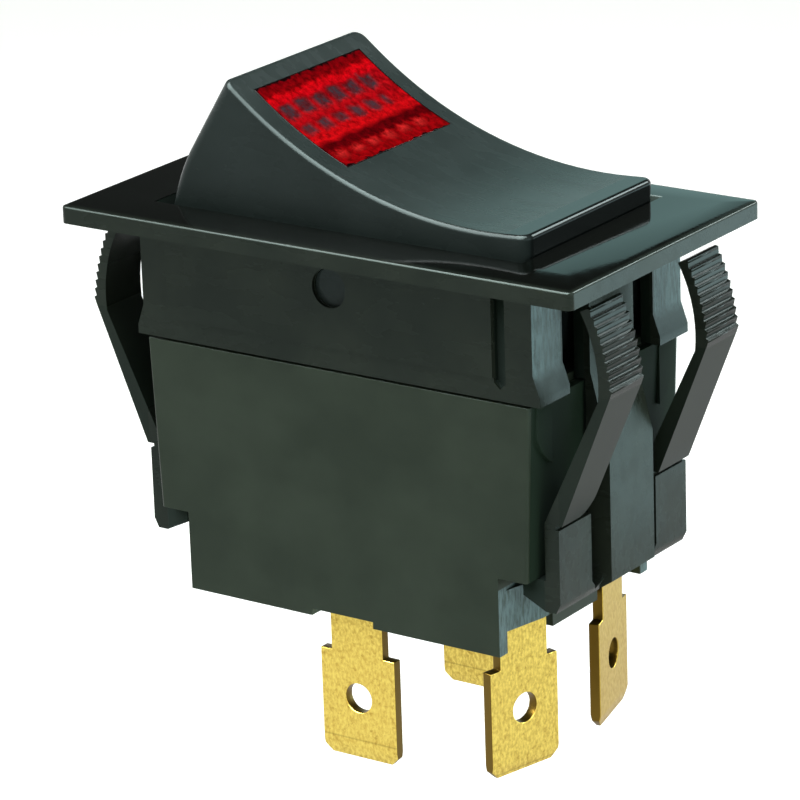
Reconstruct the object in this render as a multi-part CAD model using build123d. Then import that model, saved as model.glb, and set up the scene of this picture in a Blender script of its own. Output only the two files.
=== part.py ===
"""Illuminated two-pole snap-in rocker switch.

The origin is the centre of the cut-out, on the underside of the bezel, where the panel's face lies.
+Z points out of the panel, X runs along the bezel's length, and the near pole lies on the -Y side.
The rocker stands with its +X end pressed, its window end raised and the contacts open.
"""

import os
from math import asin, atan2, cos, degrees, radians, sin, sqrt, tan

from build123d import *

# Bezel
bezel_end_overhang = 4.87
bezel_side_overhang = 2.7
bezel_rim = 1.25
crown_rise = 0.3
crown_side = 2.5
crown_end = 1.7
bezel_corner = 0.5
edge_round = 0.18

# Rocker, measured about its pivot when it stands level
pivot_z = -2.3
rocker_tilt = 17.4
rocker_width = 16.3
rocker_half_top = 12.95
concave_radius = 31.6
concave_depth = 7.05
flat_band = 1.8
heel_out = 1.71
heel_z = 3.33
skirt_z = -1.0
rocker_wall = 1.2
roof_wall = 1.3
rocker_round = 0.35
rocker_corner = 0.9
trunnion_radius = 1.35
trunnion_recess = 0.4
hub_radius = 2.6

# Window in the rocker
window_near_pivot = 2.7
window_end_margin = 1.5
window_side_margin = 1.8
lens_thickness = 1.4
lens_flange = 0.6
lens_lip = 0.45
prism_rows = 4
prism_columns = 6
prism_height = 0.55

# Clearances
running = 0.05
rocker_side_gap = 0.25
rocker_end_gap = 0.3
fit_gap = 0.1
seam_gap = 0.15
contact_gap = 0.03

# Upper housing, part of the bezel moulding
skirt_margin = 0.46
side_wall = 1.1
end_wall = 1.0
panel_proud = 0.2
panel_left_margin = 2.3
panel_right_margin = 3.1
panel_bottom = 6.6
groove_width = 0.95
groove_depth = 0.55
groove_bottom = 7.4
end_return = 3.7
flare_top = 6.0
flare_bottom = 7.55
flare_reach = 0.55
window_top = 1.5
opening_chamfer = 0.5

# End legs and snap wings, part of the same moulding
post_half_width = 2.8
post_proud = 0.7
post_top_wall = 1.27
post_bend_top = 7.6
post_bend_bottom = 13.2
leg_wall = 1.15
leg_bottom = 23.3
leg_chamfer = 0.7
slot_tip = 23.05
slot_floor = 22.2
hook_rise = 0.9
hook_reach = 1.85
wing_width = 4.05
wing_inset = 0.15
wing_thickness = 1.0
wing_tip_thickness = 0.55
wing_middle_thickness = 0.65
wing_bulge = 4.25
wing_lean = 1.65
wing_step = 0.25
wing_tip_z = -1.1
wing_wide_z = -7.1
wing_sagitta = 0.33
wing_root_z = -16.9
rib_count = 10
rib_proud = 0.2
undercut_height = 0.35
undercut_depth = 0.3
heel_notch = 2.2
heel_notch_rise = 1.4
heel_notch_taper = 0.5

# Contact base
base_end_inset = 0.3
base_draft = 0.5
base_wall = 1.9
tongue_thickness = 0.6
end_block = 1.9
shelf_z = -21.0
shelf_thickness = 1.4
shelf_width = 2.35
block_bottom = 26.8
block_floor = 2.0
pocket_depth = 0.5
pocket_half_width = 2.6
pocket_inner = 5.9
web_half_width = 2.9
pocket_rim = 1.0
pocket_reach = 3.4
shroud_length = 0.8
shroud_shoulder = 5.2
shroud_inset = 0.8
shroud_lift = 1.6
shroud_height = 3.0
partition = 1.2
partition_top = -14.0
base_corner = 0.25
pad_inner = 6.9
pad_outer = 8.75
pad_height = 4.6
pad_proud = 0.08

# Quick-connect tabs
tab_width = 6.3
tab_thickness = 0.8
tab_length = 8.0
tab_hole_radius = 1.1
tab_hole_drop = 3.35
tab_neck = 4.4
tab_bevel = 1.0
tab_bevel_depth = 0.22
tab_corner = 0.6
middle_tab_sink = 0.48
middle_tab_drop = 3.5
end_tab_wall = 0.95
end_tab_drop = 2.32
end_tab_turn = 76.0
end_neck_inside = 3.0

# Contact arms
pole_inset = 3.9
arm_tilt = 8.0
arm_width = 2.4
arm_thickness = 0.6
arm_half_seat = 4.8
arm_tail = 6.4
arm_pin_radius = 0.45
contact_inset = 1.8
arm_tip = 1.5
button_radius = 1.4
button_height = 0.8
button_dome = 5.0
ear_width = 3.2
ear_rise = 0.7
ear_groove_gap = 0.15
pad_length = 3.4
stop_x = 5.5
stop_width = 1.2

# Plungers and their springs
plunger_radius = 1.2
plunger_tip_radius = 0.9
plunger_neck = 1.6
plunger_length = 8.0
bushing_radius = 1.8
bushing_reach = 8.8
bore_top = 0.6
spring_wire = 0.3
spring_turns = 4

# Lamp and its leads
lamp_radius = 2.0
lamp_gap = 0.13
cradle_half_length = 3.1
cradle_width = 1.0
cradle_shelf = 0.7
resistor_radius = 0.75
resistor_length = 3.6
lead_radius = 0.25
lead_bend = 0.6
lead_stub = 1.2
resistor_gap = 1.2
slot_margin = 0.08

# Values that follow from the sizes above
heel_x = rocker_half_top + heel_out
rocker_swing = sqrt(heel_x**2 + heel_z**2)
opening_half_width = rocker_width / 2 + rocker_side_gap
opening_half_length = rocker_swing + rocker_end_gap
housing_half_width = opening_half_width + side_wall
housing_half_length = opening_half_length + end_wall
bezel_length = 2 * (housing_half_length + bezel_end_overhang)
bezel_width = 2 * (housing_half_width + bezel_side_overhang)
panel_face = housing_half_width + panel_proud
panel_left = panel_left_margin - housing_half_length
panel_right = housing_half_length - panel_right_margin
concave_centre = concave_depth + concave_radius
band_x = rocker_half_top - flat_band
window_far = rocker_half_top - window_end_margin
window_length = window_far - window_near_pivot
window_width = rocker_width - 2 * window_side_margin
base_width = 2 * housing_half_width + panel_proud
base_half_length = housing_half_length - base_end_inset
base_half_foot = base_half_length - base_draft
block_half_length = base_half_foot - shelf_width
pocket_outer = base_width / 2 - pocket_rim
shroud_heel = base_width / 2 - shroud_inset
shroud_bottom = block_bottom - shroud_lift
leg_inner = base_half_length + seam_gap
leg_face = leg_inner + leg_wall
post_face = leg_face + post_proud
post_top_face = opening_half_length + post_top_wall
wing_outer = opening_half_width - wing_inset
wing_inner = wing_outer - wing_width
wing_wide_x = leg_face + wing_bulge
wing_tip_x = wing_wide_x - wing_lean
wing_root_x = leg_face + wing_step
floor_z = -(block_bottom - pocket_depth)
cavity_floor = floor_z + block_floor
shelf_top = shelf_z + shelf_thickness
cavity_half_length = base_half_foot - end_block
cavity_half_width = base_width / 2 - base_wall
trunnion_end = panel_face - trunnion_recess
skirt_corner = sqrt(rocker_swing**2 - skirt_z**2)
skirt_low = pivot_z - skirt_corner * sin(radians(rocker_tilt)) + skirt_z * cos(radians(rocker_tilt))
housing_depth = skirt_margin - skirt_low
base_top = -(housing_depth + seam_gap)
pole_y = base_width / 2 - pole_inset
middle_tab_y = cavity_half_width + tab_thickness / 2 - middle_tab_sink
end_tab_x = block_half_length - end_tab_wall
end_tab_y = pole_y
contact_x = end_tab_x - contact_inset
lamp_length = 2 * (pole_y - lead_stub)
cradle_y = lamp_length / 3
lamp_x = -(window_near_pivot + window_length / 2)
resistor_x = lamp_x - lamp_radius - resistor_gap - resistor_radius
lead_drop_x = (lamp_x + cradle_half_length - bushing_radius) / 2
lead_height = bore_top - lead_radius - slot_margin
pad_top = shelf_top + contact_gap + tab_thickness
fixed_top = pad_top + button_height


def concave_height(x, sink=0.0):
    """Height over the pivot of the rocker's concave top at x, sunk along the radius."""
    radius = concave_radius + sink
    reach = min(abs(x), band_x)
    height = concave_centre - sqrt(radius**2 - reach**2)
    return height + (abs(x) - reach) * reach / sqrt(radius**2 - reach**2)


def arm_frame_point(reach, tilt):
    """Where a point below the rocker's pivot lies in the arm's own frame, at a rocker tilt."""
    turn = radians(tilt)
    back = radians(-arm_tilt * tilt / rocker_tilt)
    x = -reach * sin(turn)
    z = pivot_z - reach * cos(turn) - arm_z
    return x * cos(back) - z * sin(back), x * sin(back) + z * cos(back)


# The lamp lies under the lens's prisms, and the cradle's shelf under the lamp
prism_root = roof_wall + contact_gap + lens_flange / 2
lamp_z = concave_height(lamp_x, prism_root) - lens_flange / 2 - prism_height - lamp_gap - lamp_radius
cradle_shelf_z = lamp_z - lamp_radius - fit_gap - cradle_shelf

# The arm's outer stretch lies this high over its axis, and the moving button hangs below it
seat_top = arm_thickness / 2
arm_rise = 1.95
button_low = arm_rise - arm_thickness - button_height
closed = radians(arm_tilt)
arm_z = (
    fixed_top
    + contact_gap
    + contact_x * sin(closed)
    - (button_low + button_dome) * cos(closed)
    + button_dome
)
tip_reach = pivot_z - arm_z - seat_top - contact_gap - plunger_tip_radius
tip_side, tip_height = arm_frame_point(tip_reach, rocker_tilt)
tip_rise = tip_height - (seat_top + contact_gap + plunger_tip_radius)
seat_radius = (tip_side**2 + tip_rise**2) / (2 * tip_rise) + plunger_tip_radius + contact_gap


def outline(*edges):
    """A face in the XZ plane, from edges drawn with x along X and y along Z."""
    return Plane.XZ * make_face(Curve() + list(edges))


def across(face, low, high):
    """The face carried along Y from low to high."""
    body = extrude(face, amount=(high - low) / 2, both=True)
    return Pos(0, (low + high) / 2, 0) * body


def block(x_low, x_high, y_low, y_high, z_low, z_high):
    """A box between two corners."""
    centre = ((x_low + x_high) / 2, (y_low + y_high) / 2, (z_low + z_high) / 2)
    return Pos(*centre) * Box(x_high - x_low, y_high - y_low, z_high - z_low)


def both_ends(shape):
    """The shape and its mirror image at the other end."""
    return shape + mirror(shape, about=Plane.YZ)


def both_sides(shape):
    """The shape and its mirror image on the other side."""
    return shape + mirror(shape, about=Plane.XZ)


def four_ways(shape):
    """The shape in all four quarters."""
    return both_sides(both_ends(shape))


def seat_rocker(shape):
    """Carries a shape from the level rocker's frame to its place in the switch."""
    return Pos(0, 0, pivot_z) * Rot(0, rocker_tilt, 0) * shape


def polar(centre, radius, angle):
    """A point on a circle, the angle in degrees from +X."""
    return centre[0] + radius * cos(radians(angle)), centre[1] + radius * sin(radians(angle))


# Bezel and bracket


def bezel_plate():
    rim = extrude(RectangleRounded(bezel_length, bezel_width, bezel_corner), bezel_rim)
    flat = Pos(0, 0, bezel_rim + crown_rise) * Rectangle(bezel_length - 2 * crown_end, bezel_width - 2 * crown_side)
    foot = Pos(0, 0, bezel_rim) * Rectangle(bezel_length - 2 * edge_round, bezel_width - 2 * edge_round)
    crown = loft([foot.face(), flat.face()], ruled=True)
    rim = fillet(rim.edges().group_by(Axis.Z)[-1], edge_round)
    return rim + crown


def rocker_opening():
    deep = housing_depth + 1
    top = bezel_rim + crown_rise
    hole = block(-opening_half_length, opening_half_length, -opening_half_width, opening_half_width, -deep, top + 1)
    funnel = Polyline(
        (-opening_half_width, top - opening_chamfer),
        (opening_half_width, top - opening_chamfer),
        (opening_half_width + 2 * opening_chamfer, top + opening_chamfer),
        (-opening_half_width - 2 * opening_chamfer, top + opening_chamfer),
        close=True,
    )
    side = extrude(Plane.YZ * make_face(funnel), amount=opening_half_length, both=True)
    return hole + side


def upper_housing():
    half_width = housing_half_width
    shell = block(-housing_half_length, housing_half_length, -half_width, half_width, -housing_depth, 0)
    recess_y = half_width - end_return
    gap = block(
        housing_half_length - 2 * end_wall,
        housing_half_length + 1,
        post_half_width,
        recess_y,
        -housing_depth - 1,
        -window_top,
    )
    shell -= four_ways(gap)
    flare = Polyline(
        (opening_half_length, -flare_top),
        (housing_half_length, -flare_top),
        (housing_half_length + flare_reach, -flare_bottom),
        (housing_half_length + flare_reach, -housing_depth),
        (opening_half_length, -housing_depth),
        close=True,
    )
    shell += four_ways(across(outline(flare), recess_y, half_width))
    panel = block(panel_left, panel_right, half_width - panel_proud, panel_face, -panel_bottom, 0)
    shell += both_sides(panel)
    edge = panel_right
    groove = Polyline(
        (edge, 1),
        (edge + groove_width, 1),
        (edge + groove_width, -groove_bottom + groove_width / 2),
        (edge + groove_width / 2, -groove_bottom),
        (edge, -groove_bottom + groove_width / 2),
        close=True,
    )
    slot = across(outline(groove), half_width - groove_depth, half_width + 1)
    slot -= block(-housing_half_length, housing_half_length, 0, panel_face + 1, -bezel_rim / 2, 2)
    return shell - both_sides(slot)


def pivot_bores():
    bore = Cylinder(trunnion_radius + running, 2 * panel_face + 1, rotation=(90, 0, 0))
    lead = Cone(trunnion_radius + running + 0.3, trunnion_radius + running, 0.3, rotation=(90, 0, 0))
    return Pos(0, 0, pivot_z) * (bore + both_sides(Pos(0, -panel_face + 0.15, 0) * lead))


def wing_arc():
    """Centre, radius and end angles of the wing's ribbed curve."""
    chord_x = wing_wide_x - wing_tip_x
    chord_z = wing_wide_z - wing_tip_z
    chord = sqrt(chord_x**2 + chord_z**2)
    radius = (chord**2 / 4 + wing_sagitta**2) / (2 * wing_sagitta)
    middle = ((wing_tip_x + wing_wide_x) / 2, (wing_tip_z + wing_wide_z) / 2)
    inward = (chord_z / chord, -chord_x / chord)
    centre = (
        middle[0] + inward[0] * (radius - wing_sagitta),
        middle[1] + inward[1] * (radius - wing_sagitta),
    )
    start = degrees(atan2(wing_tip_z - centre[1], wing_tip_x - centre[0]))
    end = degrees(atan2(wing_wide_z - centre[1], wing_wide_x - centre[0]))
    return centre, radius, start, end


def wing_profile():
    """The ribbed wing, its arm and the leg below it, as one section."""
    centre, radius, start, end = wing_arc()
    step = (end - start) / rib_count
    teeth = []
    for rib in range(rib_count):
        angle = start + rib * step
        teeth.append(polar(centre, radius, angle))
        teeth.append(polar(centre, radius + rib_proud, angle + step / 4))
    teeth.append(polar(centre, radius, end))
    lean = atan2(wing_wide_x - wing_root_x, wing_wide_z - wing_root_z)
    inner_start = (wing_tip_x - wing_tip_thickness, wing_tip_z - wing_tip_thickness / 2)
    inner_mid = polar(centre, radius - wing_middle_thickness, (start + end) / 2)
    inner_end = (wing_wide_x - wing_thickness * cos(lean), wing_wide_z - wing_thickness * sin(lean))
    undercut_x = leg_face - undercut_depth
    hook_z = shelf_z - running
    hook_x = leg_inner - hook_reach
    foot = [
        (wing_root_x, wing_root_z),
        (undercut_x, wing_root_z),
        (undercut_x, wing_root_z - undercut_height),
        (leg_face, wing_root_z - undercut_height),
        (leg_face, -leg_bottom + leg_chamfer),
        (leg_face - leg_chamfer / 2, -leg_bottom),
        (leg_inner, -leg_bottom),
        (hook_x, -leg_bottom + hook_rise),
        (hook_x, hook_z),
        (leg_inner, hook_z),
        (leg_inner, wing_root_z),
        inner_end,
    ]
    outside = Polyline(*teeth, *foot)
    inside = ThreePointArc(inner_end, inner_mid, inner_start)
    return outline(outside, inside, Line(inner_start, teeth[0]))


def post_profile():
    """The middle leg, from the bezel down to its hook, as one section."""
    hook_z = shelf_z - running
    hook_x = leg_inner - hook_reach
    inner_top = opening_half_length
    return outline(
        Polyline(
            (post_top_face, 0.5),
            (post_top_face, -post_bend_top),
            (post_face, -post_bend_bottom),
            (post_face, -leg_bottom + leg_chamfer),
            (leg_face - leg_chamfer / 2, -leg_bottom),
            (leg_inner, -leg_bottom),
            (hook_x, -leg_bottom + hook_rise),
            (hook_x, hook_z),
            (leg_inner, hook_z),
            (leg_inner, -housing_depth),
            (inner_top, -housing_depth + 0.7),
            (inner_top, 0.5),
            close=True,
        )
    )


def foot_bar():
    """The hooked bar that joins the legs at each end, with the pointed slots above it."""
    hook_z = shelf_z - running
    hook_x = leg_inner - hook_reach
    bar = Polyline(
        (leg_face, hook_z - 0.1),
        (leg_face, -leg_bottom + leg_chamfer),
        (leg_face - leg_chamfer / 2, -leg_bottom),
        (leg_inner, -leg_bottom),
        (hook_x, -leg_bottom + hook_rise),
        (hook_x, hook_z),
        (leg_inner, hook_z),
        (leg_inner, hook_z - 0.1),
        close=True,
    )
    solid = across(outline(bar), -wing_outer, wing_outer)
    gap = Polyline(
        (post_half_width, hook_z + 1),
        (post_half_width, -slot_floor),
        ((post_half_width + wing_inner) / 2, -slot_tip),
        (wing_inner, -slot_floor),
        (wing_inner, hook_z + 1),
        close=True,
    )
    notch = Pos(leg_inner, 0, 0) * extrude(Plane.YZ * make_face(gap), amount=leg_face - leg_inner + 1)
    return solid - both_sides(notch)


def arm_heel():
    """The rounded inner heel cut off a wing's arm, above the leg."""
    slim = wing_inner + heel_notch_taper
    far = wing_inner + heel_notch
    bend_z = wing_root_z + heel_notch_rise
    middle = (far - (far - slim) * cos(radians(45)), bend_z - heel_notch_rise * sin(radians(45)))
    gap = (wing_inner + post_half_width) / 2
    low = wing_root_z - undercut_height
    side = Polyline(
        (slim, bend_z),
        (wing_inner, wing_wide_z),
        (gap, wing_wide_z),
        (gap, low),
        (far, low),
        (far, wing_root_z),
    )
    face = make_face(Curve() + [side, ThreePointArc((far, wing_root_z), middle, (slim, bend_z))])
    return Pos(leg_inner - running, 0, 0) * extrude(Plane.YZ * face, amount=wing_wide_x - leg_inner)


def bezel_bracket():
    solid = bezel_plate() + upper_housing()
    solid -= rocker_opening()
    solid += both_ends(across(post_profile(), -post_half_width, post_half_width))
    solid += both_ends(foot_bar())
    solid += four_ways(across(wing_profile(), wing_inner, wing_outer))
    solid -= both_ends(mirror(arm_heel(), about=Plane.XZ))
    return solid - pivot_bores()


# Contact base


def shroud_plan():
    """Plan of the wall that stands out round an end tab, parallel to it."""
    tip = block_half_length + shroud_length
    return make_face(
        Polyline(
            (block_half_length - 1, web_half_width),
            (tip, web_half_width),
            (tip, shroud_shoulder),
            (block_half_length, shroud_heel),
            (block_half_length - 1, shroud_heel),
            close=True,
        )
    )


def lower_block():
    """The narrow lower half of the base, with a pocket round the root of each tab."""
    width = base_width / 2
    solid = block(-block_half_length, block_half_length, -width, width, -block_bottom, shelf_z)
    shroud = Pos(0, 0, -shroud_bottom) * extrude(shroud_plan(), shroud_height)
    solid += four_ways(shroud)
    low = -block_bottom - 1
    middle = block(-pocket_half_width, pocket_half_width, pocket_inner, width + 1, low, floor_z)
    inner_x = block_half_length - pocket_reach
    end = block(inner_x, block_half_length + shroud_length + 1, web_half_width, pocket_outer, low, -shroud_bottom)
    return solid - both_sides(middle) - four_ways(end)


def middle_tab_slot():
    return block(
        -tab_neck / 2 - running,
        tab_neck / 2 + running,
        middle_tab_y - tab_thickness / 2 - running,
        middle_tab_y + tab_thickness / 2 + running,
        floor_z - 1,
        cavity_floor + fit_gap,
    )


def ear_groove():
    """Room for the fulcrum's outer ear, open to the top so that it can be dropped in."""
    half = ear_width / 2 + ear_groove_gap
    side = middle_tab_y + tab_thickness / 2 + running
    groove = block(-half, half, 0, side, cavity_floor, base_top)
    return groove + block(-half, half, 0, opening_half_width, base_top, 0)


def end_tab_slot():
    thick = tab_thickness / 2 + running
    wide = end_neck_inside / 2 + running
    slot = block(-wide, wide, -thick, thick, -block_bottom, shelf_top + 1)
    return Pos(end_tab_x, end_tab_y, 0) * Rot(0, 0, 180 - end_tab_turn) * slot


def corner_pad():
    """A thin wedge on the base's end that centres it between the legs as it is pushed in."""
    top = base_top - seam_gap
    low = base_top - pad_height
    bend = (top + low) / 2
    middle = ((pad_inner + 2 * pad_outer) / 3, (bend + low) / 2)
    curve = ThreePointArc((pad_outer, bend), middle, (pad_inner, low))
    sides = Polyline((pad_inner, low), (pad_inner, top), (pad_outer, top), (pad_outer, bend))
    thickness = base_half_length + pad_proud - cavity_half_length
    wedge = extrude(Plane.YZ * make_face(Curve() + [curve, sides]), amount=thickness)
    return Pos(cavity_half_length, 0, 0) * wedge


def contact_base():
    width = base_width / 2
    upper = outline(
        Polyline(
            (-base_half_length, base_top),
            (base_half_length, base_top),
            (base_half_foot, shelf_z),
            (-base_half_foot, shelf_z),
            close=True,
        )
    )
    solid = across(upper, -width, width)
    upright = solid.edges().filter_by(Axis.Z, tolerance=4)
    solid = fillet(upright, base_corner)
    solid += lower_block() + four_ways(corner_pad())
    tongue_top = skirt_low - running
    solid += block(
        -opening_half_length + fit_gap,
        opening_half_length - fit_gap,
        -opening_half_width + fit_gap,
        opening_half_width - fit_gap,
        base_top,
        tongue_top,
    )
    solid -= block(
        -cavity_half_length,
        cavity_half_length,
        -opening_half_width + fit_gap + tongue_thickness,
        opening_half_width - fit_gap - tongue_thickness,
        base_top,
        tongue_top + 1,
    )
    solid -= block(-cavity_half_length, cavity_half_length, -cavity_half_width, cavity_half_width, shelf_top, base_top)
    lower_half = end_tab_x - pad_length + tab_thickness
    solid -= block(-lower_half, lower_half, -cavity_half_width, cavity_half_width, cavity_floor, shelf_top)
    solid += block(-cavity_half_length, cavity_half_length, -partition / 2, partition / 2, cavity_floor, partition_top)
    stop_low = arm_z - stop_x * sin(closed) + (arm_rise - arm_thickness) * cos(closed) - contact_gap
    stop_centre = -stop_x * cos(closed) - (arm_rise - arm_thickness) * sin(closed)
    stop = block(
        stop_centre - stop_width,
        stop_centre,
        pole_y - arm_width / 2,
        cavity_half_width,
        cavity_floor,
        stop_low - stop_width * tan(closed),
    )
    solid += both_sides(stop)
    solid -= both_sides(ear_groove() + middle_tab_slot() + end_tab_slot())
    return solid


# Tabs


def tab_blade(drop, neck_top):
    """One tab in the XZ plane, under a neck that ends at neck_top, with a coined tip and a hole."""
    shoulder = floor_z - drop
    tip = shoulder - tab_length
    half = tab_width / 2
    neck = tab_neck / 2
    face = Polyline(
        (neck, neck_top),
        (neck, shoulder),
        (half, shoulder),
        (half, tip + tab_corner),
        (half - tab_corner, tip),
        (-half + tab_corner, tip),
        (-half, tip + tab_corner),
        (-half, shoulder),
        (-neck, shoulder),
        (-neck, neck_top),
        close=True,
    )
    blade = across(outline(face), -tab_thickness / 2, tab_thickness / 2)
    hole = Cylinder(tab_hole_radius, 2 * tab_thickness, rotation=(90, 0, 0))
    blade -= Pos(0, 0, shoulder - tab_hole_drop) * hole
    wedge = Polyline(
        (tab_thickness / 2, tip + tab_bevel),
        (tab_thickness / 2 + 1, tip + tab_bevel),
        (tab_thickness / 2 + 1, tip - 1),
        (tab_thickness / 2 - tab_bevel_depth * (tab_bevel + 1) / tab_bevel, tip - 1),
        close=True,
    )
    cut = extrude(Plane.YZ * make_face(wedge), amount=tab_width, both=True)
    return blade - cut - mirror(cut, about=Plane.XZ)


def fulcrum_ear(y):
    """An upright ear with the notch that the arm's pin rocks in."""
    root = sqrt(2) * (arm_pin_radius + running)
    top = arm_z + ear_rise
    spread = top - (arm_z - root)
    face = Polyline(
        (-ear_width / 2, cavity_floor + contact_gap),
        (-ear_width / 2, top),
        (-spread, top),
        (0, arm_z - root),
        (spread, top),
        (ear_width / 2, top),
        (ear_width / 2, cavity_floor + contact_gap),
        close=True,
    )
    return across(outline(face), y - tab_thickness / 2, y + tab_thickness / 2)


def middle_tab():
    """Tab, bridge and two ears, stamped and folded from one strip."""
    inner_ear = 2 * pole_y - middle_tab_y
    bridge = block(
        -ear_width / 2,
        ear_width / 2,
        inner_ear - tab_thickness / 2,
        middle_tab_y + tab_thickness / 2,
        cavity_floor + contact_gap,
        cavity_floor + contact_gap + tab_thickness,
    )
    blade = Pos(0, middle_tab_y, 0) * tab_blade(middle_tab_drop, cavity_floor + contact_gap)
    return blade + bridge + fulcrum_ear(middle_tab_y) + fulcrum_ear(inner_ear)


def end_tab():
    """Tab with a landing folded over the shelf, under the fixed contact."""
    half = end_neck_inside / 2
    step = -shroud_bottom - contact_gap
    blade = tab_blade(end_tab_drop, step)
    blade += block(-half, half, -tab_thickness / 2, tab_thickness / 2, step, pad_top)
    blade += block(
        -half, half, -tab_thickness / 2, pad_length - tab_thickness / 2, pad_top - tab_thickness, pad_top
    )
    return Pos(end_tab_x, end_tab_y, 0) * Rot(0, 0, 180 - end_tab_turn) * blade


# Contact arms and buttons


def seat_arm(shape):
    """Carries a shape from the level arm's frame to its open place on the +Y side."""
    return Pos(0, pole_y, arm_z) * Rot(0, -arm_tilt, 0) * shape


def arm_strip():
    """The bowed middle that the plunger rides in, with flat arms to each side."""
    centre = seat_top + seat_radius
    edge_angle = asin(arm_half_seat / seat_radius)
    low_radius = seat_radius + arm_thickness
    edge_top = (arm_half_seat, centre - seat_radius * cos(edge_angle))
    edge_low = (low_radius * sin(edge_angle), centre - low_radius * cos(edge_angle))
    tip = contact_x + arm_tip
    rise = arm_rise
    upper = ThreePointArc((-edge_top[0], edge_top[1]), (0, seat_top), edge_top)
    lower = ThreePointArc((-edge_low[0], edge_low[1]), (0, seat_top - arm_thickness), edge_low)
    shoulder = arm_half_seat + arm_thickness
    right = Polyline(
        edge_top, (shoulder, rise), (tip, rise), (tip, rise - arm_thickness), (shoulder + 0.35, rise - arm_thickness), edge_low
    )
    left = Polyline(
        (-edge_low[0], edge_low[1]),
        (-shoulder - 0.35, rise - arm_thickness),
        (-arm_tail, rise - arm_thickness),
        (-arm_tail, rise),
        (-shoulder, rise),
        (-edge_top[0], edge_top[1]),
    )
    return across(outline(upper, right, lower, left), -arm_width / 2, arm_width / 2)


def contact_arm():
    reach = middle_tab_y - pole_y + tab_thickness / 2
    pin = Cylinder(arm_pin_radius, 2 * reach, rotation=(90, 0, 0))
    bowl = Pos(0, 0, seat_top + seat_radius) * Cylinder(seat_radius, arm_width, rotation=(90, 0, 0))
    return seat_arm(arm_strip() + (pin - bowl))


def dome_button(height):
    """A contact button with a domed face, standing on z = 0."""
    drum = Pos(0, 0, height / 2) * Cylinder(button_radius, height)
    dome = Pos(0, 0, height - button_dome) * Sphere(button_dome)
    return drum & dome


def moving_contact():
    button = Pos(contact_x, 0, arm_rise - arm_thickness) * Rot(180, 0, 0) * dome_button(button_height)
    return seat_arm(button)


def fixed_contact():
    drum = Cylinder(button_radius, button_height)
    return Pos(contact_x * cos(closed), pole_y, pad_top + button_height / 2) * drum


# Rocker and what it carries


def rocker_section():
    """The level rocker's section, with its pivot at the origin."""
    top = concave_height(rocker_half_top)
    heel_side = Polyline((band_x, concave_height(band_x)), (rocker_half_top, top), (heel_x, heel_z))
    heel_angle = degrees(atan2(heel_z, heel_x))
    skirt_angle = degrees(asin(skirt_z / rocker_swing))
    swing = ThreePointArc(
        (heel_x, heel_z), polar((0, 0), rocker_swing, (heel_angle + skirt_angle) / 2), (skirt_corner, skirt_z)
    )
    concave = ThreePointArc(
        (-band_x, concave_height(band_x)), (0, concave_depth), (band_x, concave_height(band_x))
    )
    mirrored = [mirror(edge, about=Plane.YZ) for edge in (heel_side, swing)]
    bottom = Line((-skirt_corner, skirt_z), (skirt_corner, skirt_z))
    return make_face(Curve() + [concave, heel_side, swing, bottom] + mirrored)


def rocker_layer(low, high, half_width):
    """The part of the rocker's body between two depths below its skin."""
    skin = rocker_section()
    upper = skin if low == 0 else offset(skin, -low, kind=Kind.INTERSECTION)
    under = offset(skin, -high, kind=Kind.INTERSECTION)
    slab = across(Plane.XZ * upper, -half_width, half_width)
    return slab - across(Plane.XZ * under, -half_width - 1, half_width + 1)


def bushings():
    """The two guides that hold the plungers and springs."""
    tube = Pos(0, pole_y, (concave_depth - roof_wall / 2 - bushing_reach) / 2) * Cylinder(
        bushing_radius, concave_depth - roof_wall / 2 + bushing_reach
    )
    bore = Pos(0, pole_y, (bore_top - bushing_reach - 1) / 2) * Cylinder(
        plunger_radius + running, bore_top + bushing_reach + 1
    )
    slot = block(
        -bushing_radius - 1,
        0,
        pole_y - lead_radius - slot_margin,
        pole_y + lead_radius + slot_margin,
        bore_top - 2 * lead_radius - 2 * slot_margin,
        bore_top,
    )
    return both_sides(tube), both_sides(bore + slot)


def lamp_cradle():
    inner = rocker_width / 2 - rocker_wall
    shelf = block(
        lamp_x - cradle_half_length,
        lamp_x + cradle_half_length,
        -inner - running,
        inner + running,
        cradle_shelf_z,
        cradle_shelf_z + cradle_shelf,
    )
    rib = block(
        lamp_x - lamp_radius - 0.6,
        lamp_x + lamp_radius + 0.6,
        cradle_y - cradle_width / 2,
        cradle_y + cradle_width / 2,
        cradle_shelf_z,
        lamp_z,
    )
    seat = Pos(lamp_x, 0, lamp_z) * Cylinder(lamp_radius + running, lamp_length, rotation=(90, 0, 0))
    return shelf + (both_sides(rib) - seat)


def window_box(grow, half_width, low, high):
    return block(-window_far - grow, -window_near_pivot + grow, -half_width - grow, half_width + grow, low, high)


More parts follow.
